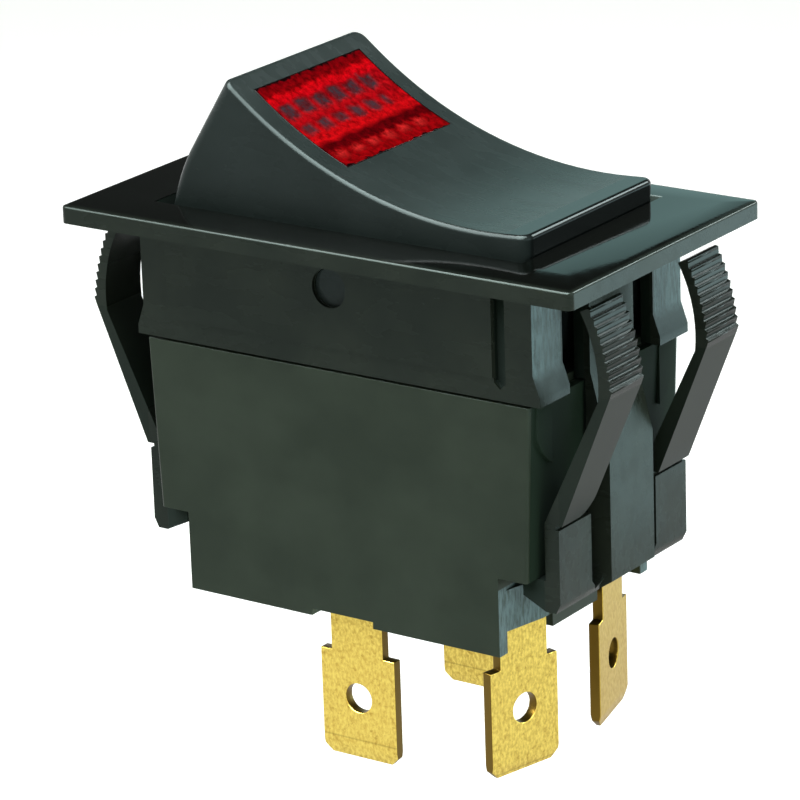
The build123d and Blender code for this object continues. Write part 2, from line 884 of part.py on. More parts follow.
def rocker():
    half = rocker_width / 2
    section = Plane.XZ * rocker_section()
    skin = across(section, -half, half)
    # The four corner edges first, then the whole rim of the top
    rim_z = (heel_z + concave_depth) / 2
    corners = [edge for edge in skin.edges() if edge.center().Z > rim_z and abs(edge.center().X) > rocker_half_top]
    skin = fillet([edge for edge in corners if abs(edge.center().Y) > half - rocker_corner], rocker_corner)
    rim = [edge for edge in skin.edges() if edge.bounding_box().min.Z > rim_z]
    skin = fillet(rim, rocker_round)
    inner_face = offset(rocker_section(), -roof_wall, kind=Kind.INTERSECTION)
    inner = across(Plane.XZ * inner_face, -half + rocker_wall, half - rocker_wall)
    mouth_half = skirt_corner - roof_wall
    mouth = block(-mouth_half, mouth_half, -half + rocker_wall, half - rocker_wall, skirt_z - 1, heel_z)
    solid = skin - inner - mouth
    hub = Pos(0, 0, 0) * Cylinder(hub_radius, 2 * half, rotation=(90, 0, 0))
    solid += hub - block(-hub_radius - 1, hub_radius + 1, -half + rocker_wall, half - rocker_wall, -half, half)
    tubes, bores = bushings()
    solid += tubes + lamp_cradle()
    solid += Cylinder(trunnion_radius, 2 * trunnion_end, rotation=(90, 0, 0)) - block(
        -half, half, -half + rocker_wall, half - rocker_wall, -half, half
    )
    solid -= bores
    solid -= window_box(0, window_width / 2, heel_z + 1, 2 * rocker_half_top)
    return seat_rocker(solid)


def lens():
    half = window_width / 2
    top = 2 * rocker_half_top
    pane = rocker_layer(0, lens_thickness, half) & window_box(-running, half, heel_z, top)
    low = roof_wall + contact_gap
    flange = rocker_layer(low, low + lens_flange, half + 1)
    flange &= block(
        -window_far + running, -window_near_pivot + lens_lip, -half - lens_lip, half + lens_lip, heel_z, top
    )
    pane += flange
    row_pitch = window_length / prism_rows
    column_pitch = window_width / prism_columns
    for row in range(prism_rows):
        x = -window_far + row_pitch * (row + 0.5)
        root = concave_height(x, prism_root)
        for column in range(prism_columns):
            y = -half + column_pitch * (column + 0.5)
            base = Pos(x, y, root) * Rectangle(row_pitch * 0.8, column_pitch * 0.8)
            tip = Pos(x, y, root - lens_flange / 2 - prism_height) * Rectangle(row_pitch * 0.4, column_pitch * 0.4)
            pane += loft([base.face(), tip.face()], ruled=True)
    return seat_rocker(pane)


def plunger():
    """A pin with a round nose, whose head rides in the bushing."""
    head_top = -tip_reach + plunger_length
    neck_top = -tip_reach + plunger_neck
    section = make_face(
        Polyline((0, -tip_reach), (plunger_tip_radius, -tip_reach), (plunger_tip_radius, neck_top))
        + Line((plunger_tip_radius, neck_top), (plunger_radius, neck_top + 0.3))
        + Polyline((plunger_radius, neck_top + 0.3), (plunger_radius, head_top), (0, head_top), (0, -tip_reach))
    )
    turned = revolve(Plane.XZ * section, Axis.Z)
    nose = Pos(0, 0, -tip_reach) * Sphere(plunger_tip_radius)
    return seat_rocker(Pos(0, pole_y, 0) * (turned + nose))


def plunger_spring():
    """A compression spring between the plunger's head and the end of its bore."""
    low = -tip_reach + plunger_length + spring_wire / 2 + contact_gap
    high = lead_height - lead_radius - spring_wire / 2 - contact_gap
    coil_radius = plunger_radius - spring_wire / 2 - running
    path = Helix((high - low) / spring_turns, high - low, coil_radius)
    section = RegularPolygon(spring_wire / 2, 6)
    wire = sweep(Plane(path @ 0, z_dir=path % 0) * section, path)
    return seat_rocker(Pos(0, pole_y, low) * wire)


def lamp():
    """A small neon bulb lying across the rocker."""
    body = lamp_length - lamp_radius
    tube = Pos(0, body / 2 - lamp_length / 2, 0) * Cylinder(lamp_radius, body, rotation=(90, 0, 0))
    tube += Pos(0, lamp_length / 2 - lamp_radius, 0) * Sphere(lamp_radius)
    pip = Pos(0, lamp_length / 2, 0) * Cylinder(lamp_radius / 4, lamp_radius / 3, rotation=(90, 0, 0))
    return seat_rocker(Pos(lamp_x, 0, lamp_z) * (tube + pip))


def lead(points):
    """A thin wire with eight flats, along straight runs with small bends."""
    path = FilletPolyline(*points, radius=lead_bend)
    section = RegularPolygon(lead_radius, 8)
    return seat_rocker(sweep(Plane(path @ 0, z_dir=path % 0) * section, path))


def lamp_lead_near():
    """From the lamp's inner pin to the top of the near spring."""
    pin_x = lamp_x + lamp_radius / 2
    return lead(
        [
            (pin_x, -lamp_length / 2, lamp_z),
            (pin_x, -pole_y, lamp_z),
            (lead_drop_x, -pole_y, lamp_z),
            (lead_drop_x, -pole_y, lead_height),
            (bushing_radius / 4, -pole_y, lead_height),
        ]
    )


def lamp_lead_far():
    """From the lamp's outer pin to the resistor."""
    pin_x = lamp_x - lamp_radius / 2
    return lead(
        [
            (pin_x, -lamp_length / 2, lamp_z),
            (pin_x, -pole_y, lamp_z),
            (resistor_x, -pole_y, lamp_z),
            (resistor_x, -resistor_length / 2, lamp_z),
        ]
    )


def resistor_lead():
    """From the resistor to the top of the far spring."""
    return lead(
        [
            (resistor_x, resistor_length / 2, lamp_z),
            (resistor_x, pole_y, lamp_z),
            (lead_drop_x, pole_y, lamp_z),
            (lead_drop_x, pole_y, lead_height),
            (bushing_radius / 4, pole_y, lead_height),
        ]
    )


def lamp_resistor():
    """A small resistor with bulged ends, lying along the rocker's end."""
    body = Cylinder(resistor_radius * 0.85, resistor_length, rotation=(90, 0, 0))
    end = Cylinder(resistor_radius, resistor_length / 4, rotation=(90, 0, 0))
    end = chamfer(end.edges().filter_by(GeomType.CIRCLE), resistor_radius / 4)
    body += both_sides(Pos(0, resistor_length * 3 / 8, 0) * end)
    return seat_rocker(Pos(resistor_x, 0, lamp_z) * body)


def write(name, solid):
    solid.label = name
    export_step(solid, os.path.join("parts", name + ".step"))


os.makedirs("parts", exist_ok=True)
write("bezel_bracket", bezel_bracket())
write("contact_base", contact_base())
write("rocker", rocker())
write("lens", lens())
write("lamp", lamp())
write("lamp_resistor", lamp_resistor())
write("lamp_lead_near", lamp_lead_near())
write("lamp_lead_far", lamp_lead_far())
write("resistor_lead", resistor_lead())
for side, flip in (("far", False), ("near", True)):
    pieces = {
        "tab_" + side + "_middle": middle_tab(),
        "tab_" + side + "_end": end_tab(),
        "contact_arm_" + side: contact_arm(),
        "moving_contact_" + side: moving_contact(),
        "fixed_contact_" + side: fixed_contact(),
        "plunger_" + side: plunger(),
        "plunger_spring_" + side: plunger_spring(),
    }
    for name, solid in pieces.items():
        write(name, mirror(solid, about=Plane.XZ) if flip else solid)
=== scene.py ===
# %% [markdown]
# # A panel rocker switch, dressed for its portrait
# The CAD model holds every part of the switch at its true size. This lesson loads it, rounds the
# moulded edges that the light catches, lays a bar on each rib of the wings, and gives each part its
# finish. Loading brings in one object for each part, already in its place, so nothing is placed by
# hand. Each rounded copy is then hung on the body that it moves with.

import math

import bmesh
import bpy
from mathutils import Matrix, Vector


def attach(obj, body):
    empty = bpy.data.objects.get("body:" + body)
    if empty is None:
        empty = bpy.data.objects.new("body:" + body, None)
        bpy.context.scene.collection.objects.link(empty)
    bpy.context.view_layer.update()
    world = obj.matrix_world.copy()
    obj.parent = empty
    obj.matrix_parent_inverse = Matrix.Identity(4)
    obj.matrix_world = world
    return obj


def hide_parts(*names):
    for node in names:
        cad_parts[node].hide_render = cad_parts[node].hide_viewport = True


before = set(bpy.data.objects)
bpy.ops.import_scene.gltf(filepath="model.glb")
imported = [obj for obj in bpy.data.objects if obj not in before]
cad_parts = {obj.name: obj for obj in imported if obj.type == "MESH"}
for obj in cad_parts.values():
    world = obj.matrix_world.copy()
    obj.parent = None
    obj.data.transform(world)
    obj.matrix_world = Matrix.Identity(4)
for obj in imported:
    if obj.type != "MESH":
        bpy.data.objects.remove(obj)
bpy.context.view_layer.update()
MM = 0.001

# %% [markdown]
# ## Camera
# The picture was taken from a little above, off the near long side and the end with two tabs. The view
# could be found by eye, but a few pixels of error spoil every comparison. So direction, distance and
# lens were worked out from the bezel's corners and the tabs' width. The long lens keeps the bezel's
# edges almost parallel.

# %% Camera
AZIMUTH, ELEVATION, ROLL = 35.207, 18.876, -1.963
DISTANCE = 318.302 * MM
TARGET = Vector((-1.207, 0.0, -13.453)) * MM
SENSOR_WIDTH = 36
FOCAL_PIXELS, PICTURE_PIXELS = 4496.949, 800
NEAR_CLIP, FAR_CLIP = 0.01, 20

azimuth, elevation, roll = (math.radians(a) for a in (AZIMUTH, ELEVATION, ROLL))
flat = math.cos(elevation)
back = Vector((math.sin(azimuth) * flat, -math.cos(azimuth) * flat, math.sin(elevation)))
level_right = Vector((math.cos(azimuth), math.sin(azimuth), 0.0))
upright = back.cross(level_right)
right = level_right * math.cos(roll) + upright * math.sin(roll)
up = upright * math.cos(roll) - level_right * math.sin(roll)

camera = bpy.data.objects.new("camera", bpy.data.cameras.new("camera"))
bpy.context.scene.collection.objects.link(camera)
camera.data.sensor_width = SENSOR_WIDTH
camera.data.lens = FOCAL_PIXELS / PICTURE_PIXELS * SENSOR_WIDTH
camera.data.clip_start = NEAR_CLIP
camera.data.clip_end = FAR_CLIP
turned = Matrix((right, up, back)).transposed().to_4x4()
camera.matrix_world = Matrix.Translation(TARGET + back * DISTANCE) @ turned
bpy.context.scene.camera = camera
bpy.context.scene.view_settings.view_transform = "Standard"
print("lens", round(camera.data.lens, 1), "mm at", round(DISTANCE, 3), "m")

# %% [markdown]
# ## Building blocks for node trees
# Every tree below could be clicked together in the editor, but a script can be read, compared and
# changed. Small helpers keep it short: one adds a node, one does sums, one carries a value from one
# range to another. A value given as a socket is linked, and anything else is typed into the input.


# %% Helpers for node trees
def put(tree, kind, inputs=None, **settings):
    """Adds a node, sets its properties, then fills or links its inputs."""
    made = tree.nodes.new(kind)
    for name, value in settings.items():
        setattr(made, name, value)
    for name, value in (inputs or {}).items():
        if isinstance(value, bpy.types.NodeSocket):
            tree.links.new(value, made.inputs[name])
        else:
            made.inputs[name].default_value = value
    return made


def calc(tree, operation, first, second=0.0):
    """The result of a Math node on two values or sockets."""
    return put(tree, "ShaderNodeMath", {0: first, 1: second}, operation=operation).outputs[0]


def spread(tree, value, low, high, start=0.0, end=1.0):
    """Carries a value from between start and end to between low and high."""
    ends = {"From Min": start, "From Max": end, "To Min": low, "To Max": high}
    return put(tree, "ShaderNodeMapRange", {"Value": value, **ends}).outputs[0]


def noise(tree, place, scale, detail, roughness=0.5):
    """A noise value between zero and one at a place."""
    inputs = {"Vector": place, "Scale": scale, "Detail": detail, "Roughness": roughness}
    return put(tree, "ShaderNodeTexNoise", inputs).outputs[0]


def shader_group(name, inputs, outputs):
    """A new shader group with float inputs and outputs, and its two end nodes."""
    tree = bpy.data.node_groups.new(name, "ShaderNodeTree")
    for label, value in inputs.items():
        socket = tree.interface.new_socket(label, in_out="INPUT", socket_type="NodeSocketFloat")
        socket.default_value = value
    for label in outputs:
        tree.interface.new_socket(label, in_out="OUTPUT", socket_type="NodeSocketFloat")
    return tree, tree.nodes.new("NodeGroupInput").outputs, tree.nodes.new("NodeGroupOutput").inputs


def use_group(tree, group, values):
    """Places a group in a tree with its own values and returns its outputs."""
    return put(tree, "ShaderNodeGroup", values, node_tree=group).outputs


def new_material(name, **sockets):
    """A material with its Principled shader; underscores in the names of sockets stand for spaces."""
    made = bpy.data.materials.new(name)
    made.use_nodes = True
    shader = made.node_tree.nodes["Principled BSDF"]
    for label, value in sockets.items():
        shader.inputs[label.replace("_", " ")].default_value = value
    return made, made.node_tree, shader


def millimetres(tree):
    """Object coordinates counted in millimetres."""
    coordinates = tree.nodes.new("ShaderNodeTexCoord").outputs["Object"]
    inputs = {0: coordinates, "Scale": 1 / MM}
    return put(tree, "ShaderNodeVectorMath", inputs, operation="SCALE").outputs[0]


helpers = (put, calc, spread, noise, shader_group, use_group, new_material, millimetres)
print("helpers:", [helper.__name__ for helper in helpers])

# %% [markdown]
# ## White paper
# The picture is white behind the switch. Here that is a sheet of white paper that lies well below it.
# More lamps would turn the paper white, but they would bleach the switch too. So the paper keeps its
# own light and shadow and is only lifted a little where the camera looks. Reflections and glass see it
# as plain white.

# %% White paper
PAPER_TONE = (0.9, 0.9, 0.9, 1)
PAPER_LIFT = 0.4
PAPER_HALF_WIDTH = 3.0
PAPER_Z = -75 * MM

paper, paper_tree, paper_shader = new_material("paper", Base_Color=PAPER_TONE, Roughness=0.9)
paper_path = paper_tree.nodes.new("ShaderNodeLightPath").outputs
mirrored = calc(paper_tree, "MAXIMUM", paper_path["Is Glossy Ray"], paper_path["Is Transmission Ray"])
plain_white = put(paper_tree, "ShaderNodeEmission").outputs[0]
paper_mix = put(
    paper_tree, "ShaderNodeMixShader", {0: mirrored, 1: paper_shader.outputs[0], 2: plain_white}
).outputs[0]
lift = calc(paper_tree, "MULTIPLY", paper_path["Is Camera Ray"], PAPER_LIFT)
paper_lift = put(paper_tree, "ShaderNodeEmission", {"Strength": lift}).outputs[0]
paper_sum = put(paper_tree, "ShaderNodeAddShader", {0: paper_mix, 1: paper_lift}).outputs[0]
paper_tree.links.new(paper_sum, paper_tree.nodes["Material Output"].inputs["Surface"])

sheet = bmesh.new()
lowered = Matrix.Translation((0, 0, PAPER_Z))
bmesh.ops.create_grid(sheet, x_segments=1, y_segments=1, size=PAPER_HALF_WIDTH, matrix=lowered)
floor = bpy.data.objects.new("floor", bpy.data.meshes.new("floor"))
sheet.to_mesh(floor.data)
sheet.free()
bpy.context.scene.collection.objects.link(floor)
floor.data.materials.append(paper)
print("paper at", round(PAPER_Z / MM), "mm")

# %% [markdown]
# ## World
# Soft light from all round fills the shadows. An even world is the plainest way to get it. Its strength
# is set for the switch, and Light Path shows the camera, the gloss and the glass a plain white instead.

# %% World
SKY_STRENGTH = 0.32
SKY_COLOUR = (1.0, 1.0, 0.88, 1)

world = bpy.data.worlds.new("studio")
bpy.context.scene.world = world
world.use_nodes = True
sky = world.node_tree.nodes["Background"]
sky.inputs["Color"].default_value = SKY_COLOUR
sky.inputs["Strength"].default_value = SKY_STRENGTH
plain_sky = put(world.node_tree, "ShaderNodeBackground", {"Color": (1, 1, 1, 1), "Strength": 1.0})
sky_path = world.node_tree.nodes.new("ShaderNodeLightPath").outputs
seen = calc(world.node_tree, "MAXIMUM", sky_path["Is Camera Ray"], sky_path["Is Transmission Ray"])
seen = calc(world.node_tree, "MAXIMUM", seen, sky_path["Is Glossy Ray"])
sky_mix = put(world.node_tree, "ShaderNodeMixShader", {0: seen, 1: sky.outputs[0], 2: plain_sky.outputs[0]})
world.node_tree.links.new(sky_mix.outputs[0], world.node_tree.nodes["World Output"].inputs["Surface"])
print("sky strength:", SKY_STRENGTH)

# %% [markdown]
# ## Lamps and panels
# Two soft lamps light the switch, one above and in front, one off the end with two tabs. Black gloss is
# drawn by what it mirrors, so three panels are added that light nothing but reflections. One draws the
# line of light on the long edges, one the line on the rocker's lip, and one the sheen on the end faces
# under the bezel.


# %% Lamps and panels
def soft_lamp(name, place, size, power, colour):
    """A square area lamp at place, aimed at the middle of the switch, with place and size in mm."""
    lamp = bpy.data.objects.new(name, bpy.data.lights.new(name, "AREA"))
    lamp.data.shape = "SQUARE"
    lamp.data.size = size * MM
    lamp.data.energy = power
    lamp.data.color = colour
    lamp.location = Vector(place) * MM
    lamp.rotation_mode = "QUATERNION"
    lamp.rotation_quaternion = (Vector(SWITCH_MIDDLE) - Vector(place)).to_track_quat("-Z", "Y")
    bpy.context.scene.collection.objects.link(lamp)
    return lamp


SWITCH_MIDDLE = (0, 0, -13)
soft_lamp("lamp_above", (-50, -70, 340), size=220, power=1.6, colour=(0.9, 1.0, 1.0))
soft_lamp("lamp_end", (330, -30, 60), size=220, power=0.33, colour=(0.8, 0.97, 1.0))
panels = [
    soft_lamp("panel_for_edges", (-30, -135, 260), size=420, power=13.0, colour=(1.0, 1.0, 1.0)),
    soft_lamp("panel_for_lip", (115, 227, 159), size=110, power=0.7, colour=(0.9, 1.0, 1.0)),
    soft_lamp("panel_for_end", (104, 147, -72), size=150, power=0.17, colour=(0.62, 0.95, 1.0)),
]
for panel in panels:
    panel.visible_diffuse = False
    panel.visible_camera = False

# %% [markdown]
# ## Cards
# A white room turns every glossy black top pale grey. A photographer holds cards up behind the object,
# out of the picture, and lets the gloss mirror those. Two black cards keep the slopes and the window
# end dark, and a grey one tints the flat tops. The camera and diffuse light pass through them, and they
# cast no shadow.


# %% Cards
def card(name, place, width, height, colour):
    """An evenly glowing card for reflections, facing the bezel, with place and sizes in mm."""
    board = bmesh.new()
    bmesh.ops.create_grid(board, x_segments=1, y_segments=1, size=MM / 2)
    bmesh.ops.scale(board, vec=(width, height, 1), verts=board.verts)
    turned = (-Vector(place)).to_track_quat("Z", "Y").to_matrix().to_4x4()
    bmesh.ops.transform(board, matrix=Matrix.Translation(Vector(place) * MM) @ turned, verts=board.verts)
    made = bpy.data.objects.new(name, bpy.data.meshes.new(name))
    board.to_mesh(made.data)
    board.free()
    bpy.context.scene.collection.objects.link(made)
    paint, _, shader = new_material(name, Base_Color=(0, 0, 0, 1), Roughness=1.0, Emission_Strength=1.0)
    shader.inputs["Emission Color"].default_value = (*colour, 1)
    made.data.materials.append(paint)
    made.visible_camera = False
    made.visible_shadow = False
    made.visible_diffuse = False
    return made


CARD_BLACK = (0.005, 0.005, 0.005)
CARD_GREY = (0.5, 0.86, 0.84)
cards = [
    card("dark_card_behind", (-114, 282, 304), width=780, height=310, colour=CARD_BLACK),
    card("dark_card_by_window_end", (-64, 46, 21), width=56, height=36, colour=CARD_BLACK),
    card("grey_card_behind", (-166, 233, 84), width=280, height=100, colour=CARD_GREY),
]
print("cards:", [made.name for made in cards])

# %% [markdown]
# ## Skin of a moulding
# Moulded plastic is never perfectly even. The tool's spark-eroded face leaves a fine grain, the melt
# leaves broad clouds, and flow leaves smears in the gloss. A photograph of plastic could be wrapped
# round, but it would show seams, so three noises make the skin here. It is a group, because black and
# pale mouldings both use it.

# %% Group for moulded skins
moulded_skin, skin_in, skin_out = shader_group(
    "moulded_skin", {"Cloud Size": 6.0, "Grain Size": 0.25}, ("Tone", "Gloss", "Height")
)
SMEAR_STRETCH = (0.25, 0.9, 0.7)
SMEAR_TURN = (0.2, 0.1, 0.4)

skin_place = millimetres(moulded_skin)
cloud_scale = calc(moulded_skin, "DIVIDE", 1.0, skin_in["Cloud Size"])
grain_scale = calc(moulded_skin, "DIVIDE", 1.0, skin_in["Grain Size"])
smear = {"Vector": skin_place, "Scale": SMEAR_STRETCH, "Rotation": SMEAR_TURN}
smear_place = put(moulded_skin, "ShaderNodeMapping", smear).outputs[0]
moulded_skin.links.new(noise(moulded_skin, skin_place, scale=cloud_scale, detail=3.0), skin_out["Tone"])
moulded_skin.links.new(noise(moulded_skin, smear_place, scale=1.0, detail=4.0), skin_out["Gloss"])
moulded_skin.links.new(noise(moulded_skin, skin_place, scale=grain_scale, detail=2.0), skin_out["Height"])
print("group:", moulded_skin.name, "with outputs", [socket.name for socket in skin_out if socket.name])

# %% [markdown]
# ## Streaks of painted sheen
# The end faces take a painted sheen, paler and bluish, in short strokes that run up and down. Noise
# stretched along Z gives such strokes. The bracket and the base both have them, so this is a group too,
# with the stroke's width and length and the faintest streak as inputs.

# %% Group for streaks of painted sheen
STROKE = {"Stroke Width": 0.25, "Stroke Length": 1 / 0.7, "Faintest": 0.25}
sheen_streaks, sheen_in, sheen_out = shader_group("sheen_streaks", STROKE, ("Sheen",))
FAINT_NOISE, FULL_NOISE = 0.38, 0.58


def stretched(tree, width, length):
    """Places for a noise of scale one, so that its blobs have this width and this length along Z in mm."""
    across = calc(tree, "DIVIDE", 1.0, width)
    along = calc(tree, "DIVIDE", 1.0, length)
    pull = put(tree, "ShaderNodeCombineXYZ", {0: across, 1: across, 2: along}).outputs[0]
    factors = {0: millimetres(tree), 1: pull}
    return put(tree, "ShaderNodeVectorMath", factors, operation="MULTIPLY").outputs[0]


sheen_place = stretched(sheen_streaks, sheen_in["Stroke Width"], sheen_in["Stroke Length"])
strokes = noise(sheen_streaks, sheen_place, scale=1.0, detail=5.0, roughness=0.65)
streaked = spread(sheen_streaks, strokes, sheen_in["Faintest"], 1.0, FAINT_NOISE, FULL_NOISE)
sheen_streaks.links.new(streaked, sheen_out["Sheen"])
print("group:", sheen_streaks.name, "with strokes", STROKE["Stroke Width"], "mm wide")

# %% [markdown]
# ## Skin of rolled metal
# Strip metal carries streaks from the rolls and small dull specks where tarnish starts. Streaks are a
# noise stretched along the blade, and specks are the peaks of a fine noise. Brass, bronze, silver,
# steel and tin use the group with their own lengths and widths.

# %% Group for rolled metal
rolled_skin, rolled_in, rolled_out = shader_group(
    "rolled_skin", {"Streak Length": 3.0, "Streak Width": 0.12, "Spots": 0.5}, ("Streak", "Spot")
)
SPECK_SCALE = 2.6
SPECK_START, SPECK_FULL = 0.52, 0.7

rolled_place = stretched(rolled_skin, rolled_in["Streak Width"], rolled_in["Streak Length"])
rolled_skin.links.new(noise(rolled_skin, rolled_place, scale=1.0, detail=3.0), rolled_out["Streak"])
speckle = noise(rolled_skin, millimetres(rolled_skin), SPECK_SCALE, detail=5.0, roughness=0.7)
speckled = spread(rolled_skin, speckle, 0.0, 1.0, SPECK_START, SPECK_FULL)
rolled_skin.links.new(calc(rolled_skin, "MULTIPLY", speckled, rolled_in["Spots"]), rolled_out["Spot"])
print("groups:", [group.name for group in bpy.data.node_groups])

# %% [markdown]
# ## Places on the switch
# A tool maker polishes some faces of a mould and leaves others dull, so one piece has several finishes.
# The masks for them also darken faces with painted shade and lighten others with painted sheen.
# The mesh could be split into several materials, but the bevels cross the borders. Masks worked out
# from the Object coordinates and the normal say where each finish lies instead. All limits are in mm
# from the origin.


# %% Masks from a place or a normal
def axes(tree):
    """Object coordinates in mm, one socket for each axis."""
    return put(tree, "ShaderNodeSeparateXYZ", {0: millimetres(tree)}).outputs


def size_of(tree, value):
    """A value without its sign."""
    return calc(tree, "ABSOLUTE", value)


def within(tree, value, limit, soft=0.04):
    """One where a value lies below the limit, zero above it."""
    return spread(tree, value, 1.0, 0.0, limit - soft, limit + soft)


def beyond(tree, value, limit, soft=0.04):
    """One where a value lies above the limit, zero below it."""
    return spread(tree, value, 0.0, 1.0, limit - soft, limit + soft)


def all_of(tree, *masks):
    """The product of masks and shares."""
    product = masks[0]
    for mask in masks[1:]:
        product = calc(tree, "MULTIPLY", product, mask)
    return product


def facing(tree, axis):
    """How squarely a face looks along an axis, either way."""
    normal = tree.nodes.new("ShaderNodeTexCoord").outputs["Normal"]
    return size_of(tree, put(tree, "ShaderNodeSeparateXYZ", {0: normal}).outputs[axis])


def facing_ends(tree, least=0.75):
    """One on faces that look along X."""
    return spread(tree, facing(tree, "X"), 0.0, 1.0, least, least + 0.1)


print("mask helpers:", [made.__name__ for made in (within, beyond, all_of, facing_ends)])

# %% [markdown]
# ## Where the bracket is glossy, dull or painted
# The bezel's top is the face that people see, so its tool is polished, and the ribs are crisp from the
# cutter; both are darkened with painted shade. The walls of the rocker's opening and the arms of the
# wings are left dull, and darkened with painted shade. The end faces of the corner returns, and faintly
# the legs, take streaks of painted sheen.

# %% Places on the bracket
TOP_Z, TOP_SOFT = 1.25, 0.05
RIBS_X, RIBS_SOFT = 18.8, 0.1
UNDER_RIM_Z, RIBS_BOTTOM_Z = -0.6, -7.2
RIBS_GLOSS_AND_SHADE = 0.4
OPENING_X, OPENING_Y, OPENING_Z = 16.1, 9.3, 1.5
ARM_X, ARM_INNER_Y, ARM_OUTER_Y = 17.42, 4.12, 8.33
ARM_DULL_AND_SHADE = 0.5
RETURN_INNER_X, RETURN_OUTER_X, RETURN_Y = 16.05, 17.0, 6.0
RETURN_TOP_Z, RETURN_FLARE_Z, RETURN_FADE = -0.2, -6.2, 0.4
LEG_X, LEG_Z, LEG_FADE, LEG_SHEEN = 17.25, -17.25, 1.75, 0.1


def bracket_gloss_and_shade(tree):
    """Gloss and painted shade: one on the bezel's top, less on the ribbed part of the wings."""
    x, _, z = axes(tree)
    out = beyond(tree, size_of(tree, x), RIBS_X, RIBS_SOFT)
    high = all_of(tree, within(tree, z, UNDER_RIM_Z), beyond(tree, z, RIBS_BOTTOM_Z))
    ribs = all_of(tree, out, high, facing_ends(tree, least=0.2), RIBS_GLOSS_AND_SHADE)
    return calc(tree, "MAXIMUM", beyond(tree, z, TOP_Z, TOP_SOFT), ribs)


def bracket_dullness_and_shade(tree):
    """Dull and painted shade: one on the walls of the rocker's opening, less on the wings' arms."""
    x, y, z = axes(tree)
    length, width = size_of(tree, x), size_of(tree, y)
    walls = all_of(tree, within(tree, width, OPENING_Y), within(tree, length, OPENING_X))
    walls = all_of(tree, walls, within(tree, z, OPENING_Z))
    side = all_of(tree, beyond(tree, width, ARM_INNER_Y), within(tree, width, ARM_OUTER_Y))
    arms = all_of(tree, beyond(tree, length, ARM_X), side, within(tree, z, RIBS_BOTTOM_Z))
    arms = all_of(tree, arms, ARM_DULL_AND_SHADE)
    return calc(tree, "MAXIMUM", walls, arms)


def bracket_sheen(tree):
    """Painted sheen: one on the end faces of the corner returns, faint on the legs."""
    x, y, z = axes(tree)
    length = size_of(tree, x)
    outer = all_of(tree, beyond(tree, size_of(tree, y), RETURN_Y), within(tree, length, RETURN_OUTER_X))
    outer = all_of(tree, outer, beyond(tree, length, RETURN_INNER_X, soft=0.05))
    high = all_of(tree, within(tree, z, RETURN_TOP_Z), beyond(tree, z, RETURN_FLARE_Z, RETURN_FADE))
    legs = all_of(tree, beyond(tree, length, LEG_X, soft=0.05), within(tree, z, LEG_Z, LEG_FADE))
    legs = all_of(tree, legs, LEG_SHEEN)
    return all_of(tree, facing_ends(tree), calc(tree, "MAXIMUM", all_of(tree, high, outer), legs))


print("bracket masks:", bracket_gloss_and_shade.__name__, bracket_dullness_and_shade.__name__, bracket_sheen.__name__)

# %% [markdown]
# ## Where the base and the rocker differ
# The base's end faces are dull all over and darkened with painted shade, and on the feet, where the
# tabs are pressed in, they take streaks of painted sheen. The rocker's lip at the pressed end is
# polished and darkened with painted shade. The rocker stands tilted, so its mask is worked out in
# coordinates that are turned back until it is level.

# %% Places on the base and the rocker
BASE_END_X, BASE_END_Y = 15.45, 9.3
FOOT_TOP_Z, FOOT_INNER_Y = -21.9, 4.6
ROCKER_TILT = 17.4
PIVOT_Z = -2.3
LIP_X, LIP_GLOSS_AND_SHADE = 11.15, 0.8


def base_dullness_and_shade(tree):
    """Dull and painted shade: one on the base's two end faces."""
    x, y, _ = axes(tree)
    out = beyond(tree, size_of(tree, x), BASE_END_X)
    return all_of(tree, out, within(tree, size_of(tree, y), BASE_END_Y))


def base_sheen(tree):
    """Painted sheen: one on the end faces of the base's feet, under the undercut."""
    _, y, z = axes(tree)
    feet = all_of(tree, within(tree, z, FOOT_TOP_Z), beyond(tree, size_of(tree, y), FOOT_INNER_Y))
    return all_of(tree, facing_ends(tree), feet)


def level_place(tree):
    """Places in mm, turned and moved so that the rocker is level with its pivot at the origin."""
    place = {"Vector": millimetres(tree), "Location": (0, 0, PIVOT_Z)}
    place["Rotation"] = (0, math.radians(ROCKER_TILT), 0)
    return put(tree, "ShaderNodeMapping", place, vector_type="TEXTURE").outputs[0]


def rocker_gloss_and_shade(tree):
    """Gloss and painted shade: nearly one on the flat lip and the end face of the rocker's pressed end."""
    length = put(tree, "ShaderNodeSeparateXYZ", {0: level_place(tree)}).outputs["X"]
    not_side = within(tree, facing(tree, "Y"), limit=0.5, soft=0.25)
    return all_of(tree, not_side, beyond(tree, length, LIP_X, soft=0.05), LIP_GLOSS_AND_SHADE)


print("base and rocker masks:", base_dullness_and_shade.__name__, base_sheen.__name__, rocker_gloss_and_shade.__name__)

# %% [markdown]
# ## Black mouldings
# The bracket, the base and the rocker are moulded from the same black nylon, a little olive where light
# falls straight on it. Pure black would swallow every form, so each has a dark and a slightly lighter
# tone. One function makes them all from those tones and a range of roughness, and takes the masks
# above.


# %% Moulded plastic
def blend_colours(tree, factor, first, second):
    """A mix of two colours, each a triple or a socket."""
    mix = put(tree, "ShaderNodeMix", data_type="RGBA")
    mix_in = [mix.inputs["Factor"]] + [socket for socket in mix.inputs if socket.type == "RGBA"]
    for socket, value in zip(mix_in, (factor, first, second)):
        if isinstance(value, bpy.types.NodeSocket):
            tree.links.new(value, socket)
        elif socket.type == "RGBA":
            socket.default_value = (*value, 1)
        else:
            socket.default_value = value
    return next(socket for socket in mix.outputs if socket.type == "RGBA")


def darker(colour, shares):
    """A colour with each channel multiplied by its share."""
    return tuple(channel * share for channel, share in zip(colour, shares))


def bump(tree, shader, height, distance):
    """Feeds a height to the shader's Normal, with the distance of a height of one in mm."""
    made = put(tree, "ShaderNodeBump", {"Height": height, "Distance": distance * MM, "Strength": 1.0})
    tree.links.new(made.outputs[0], shader.inputs["Normal"])


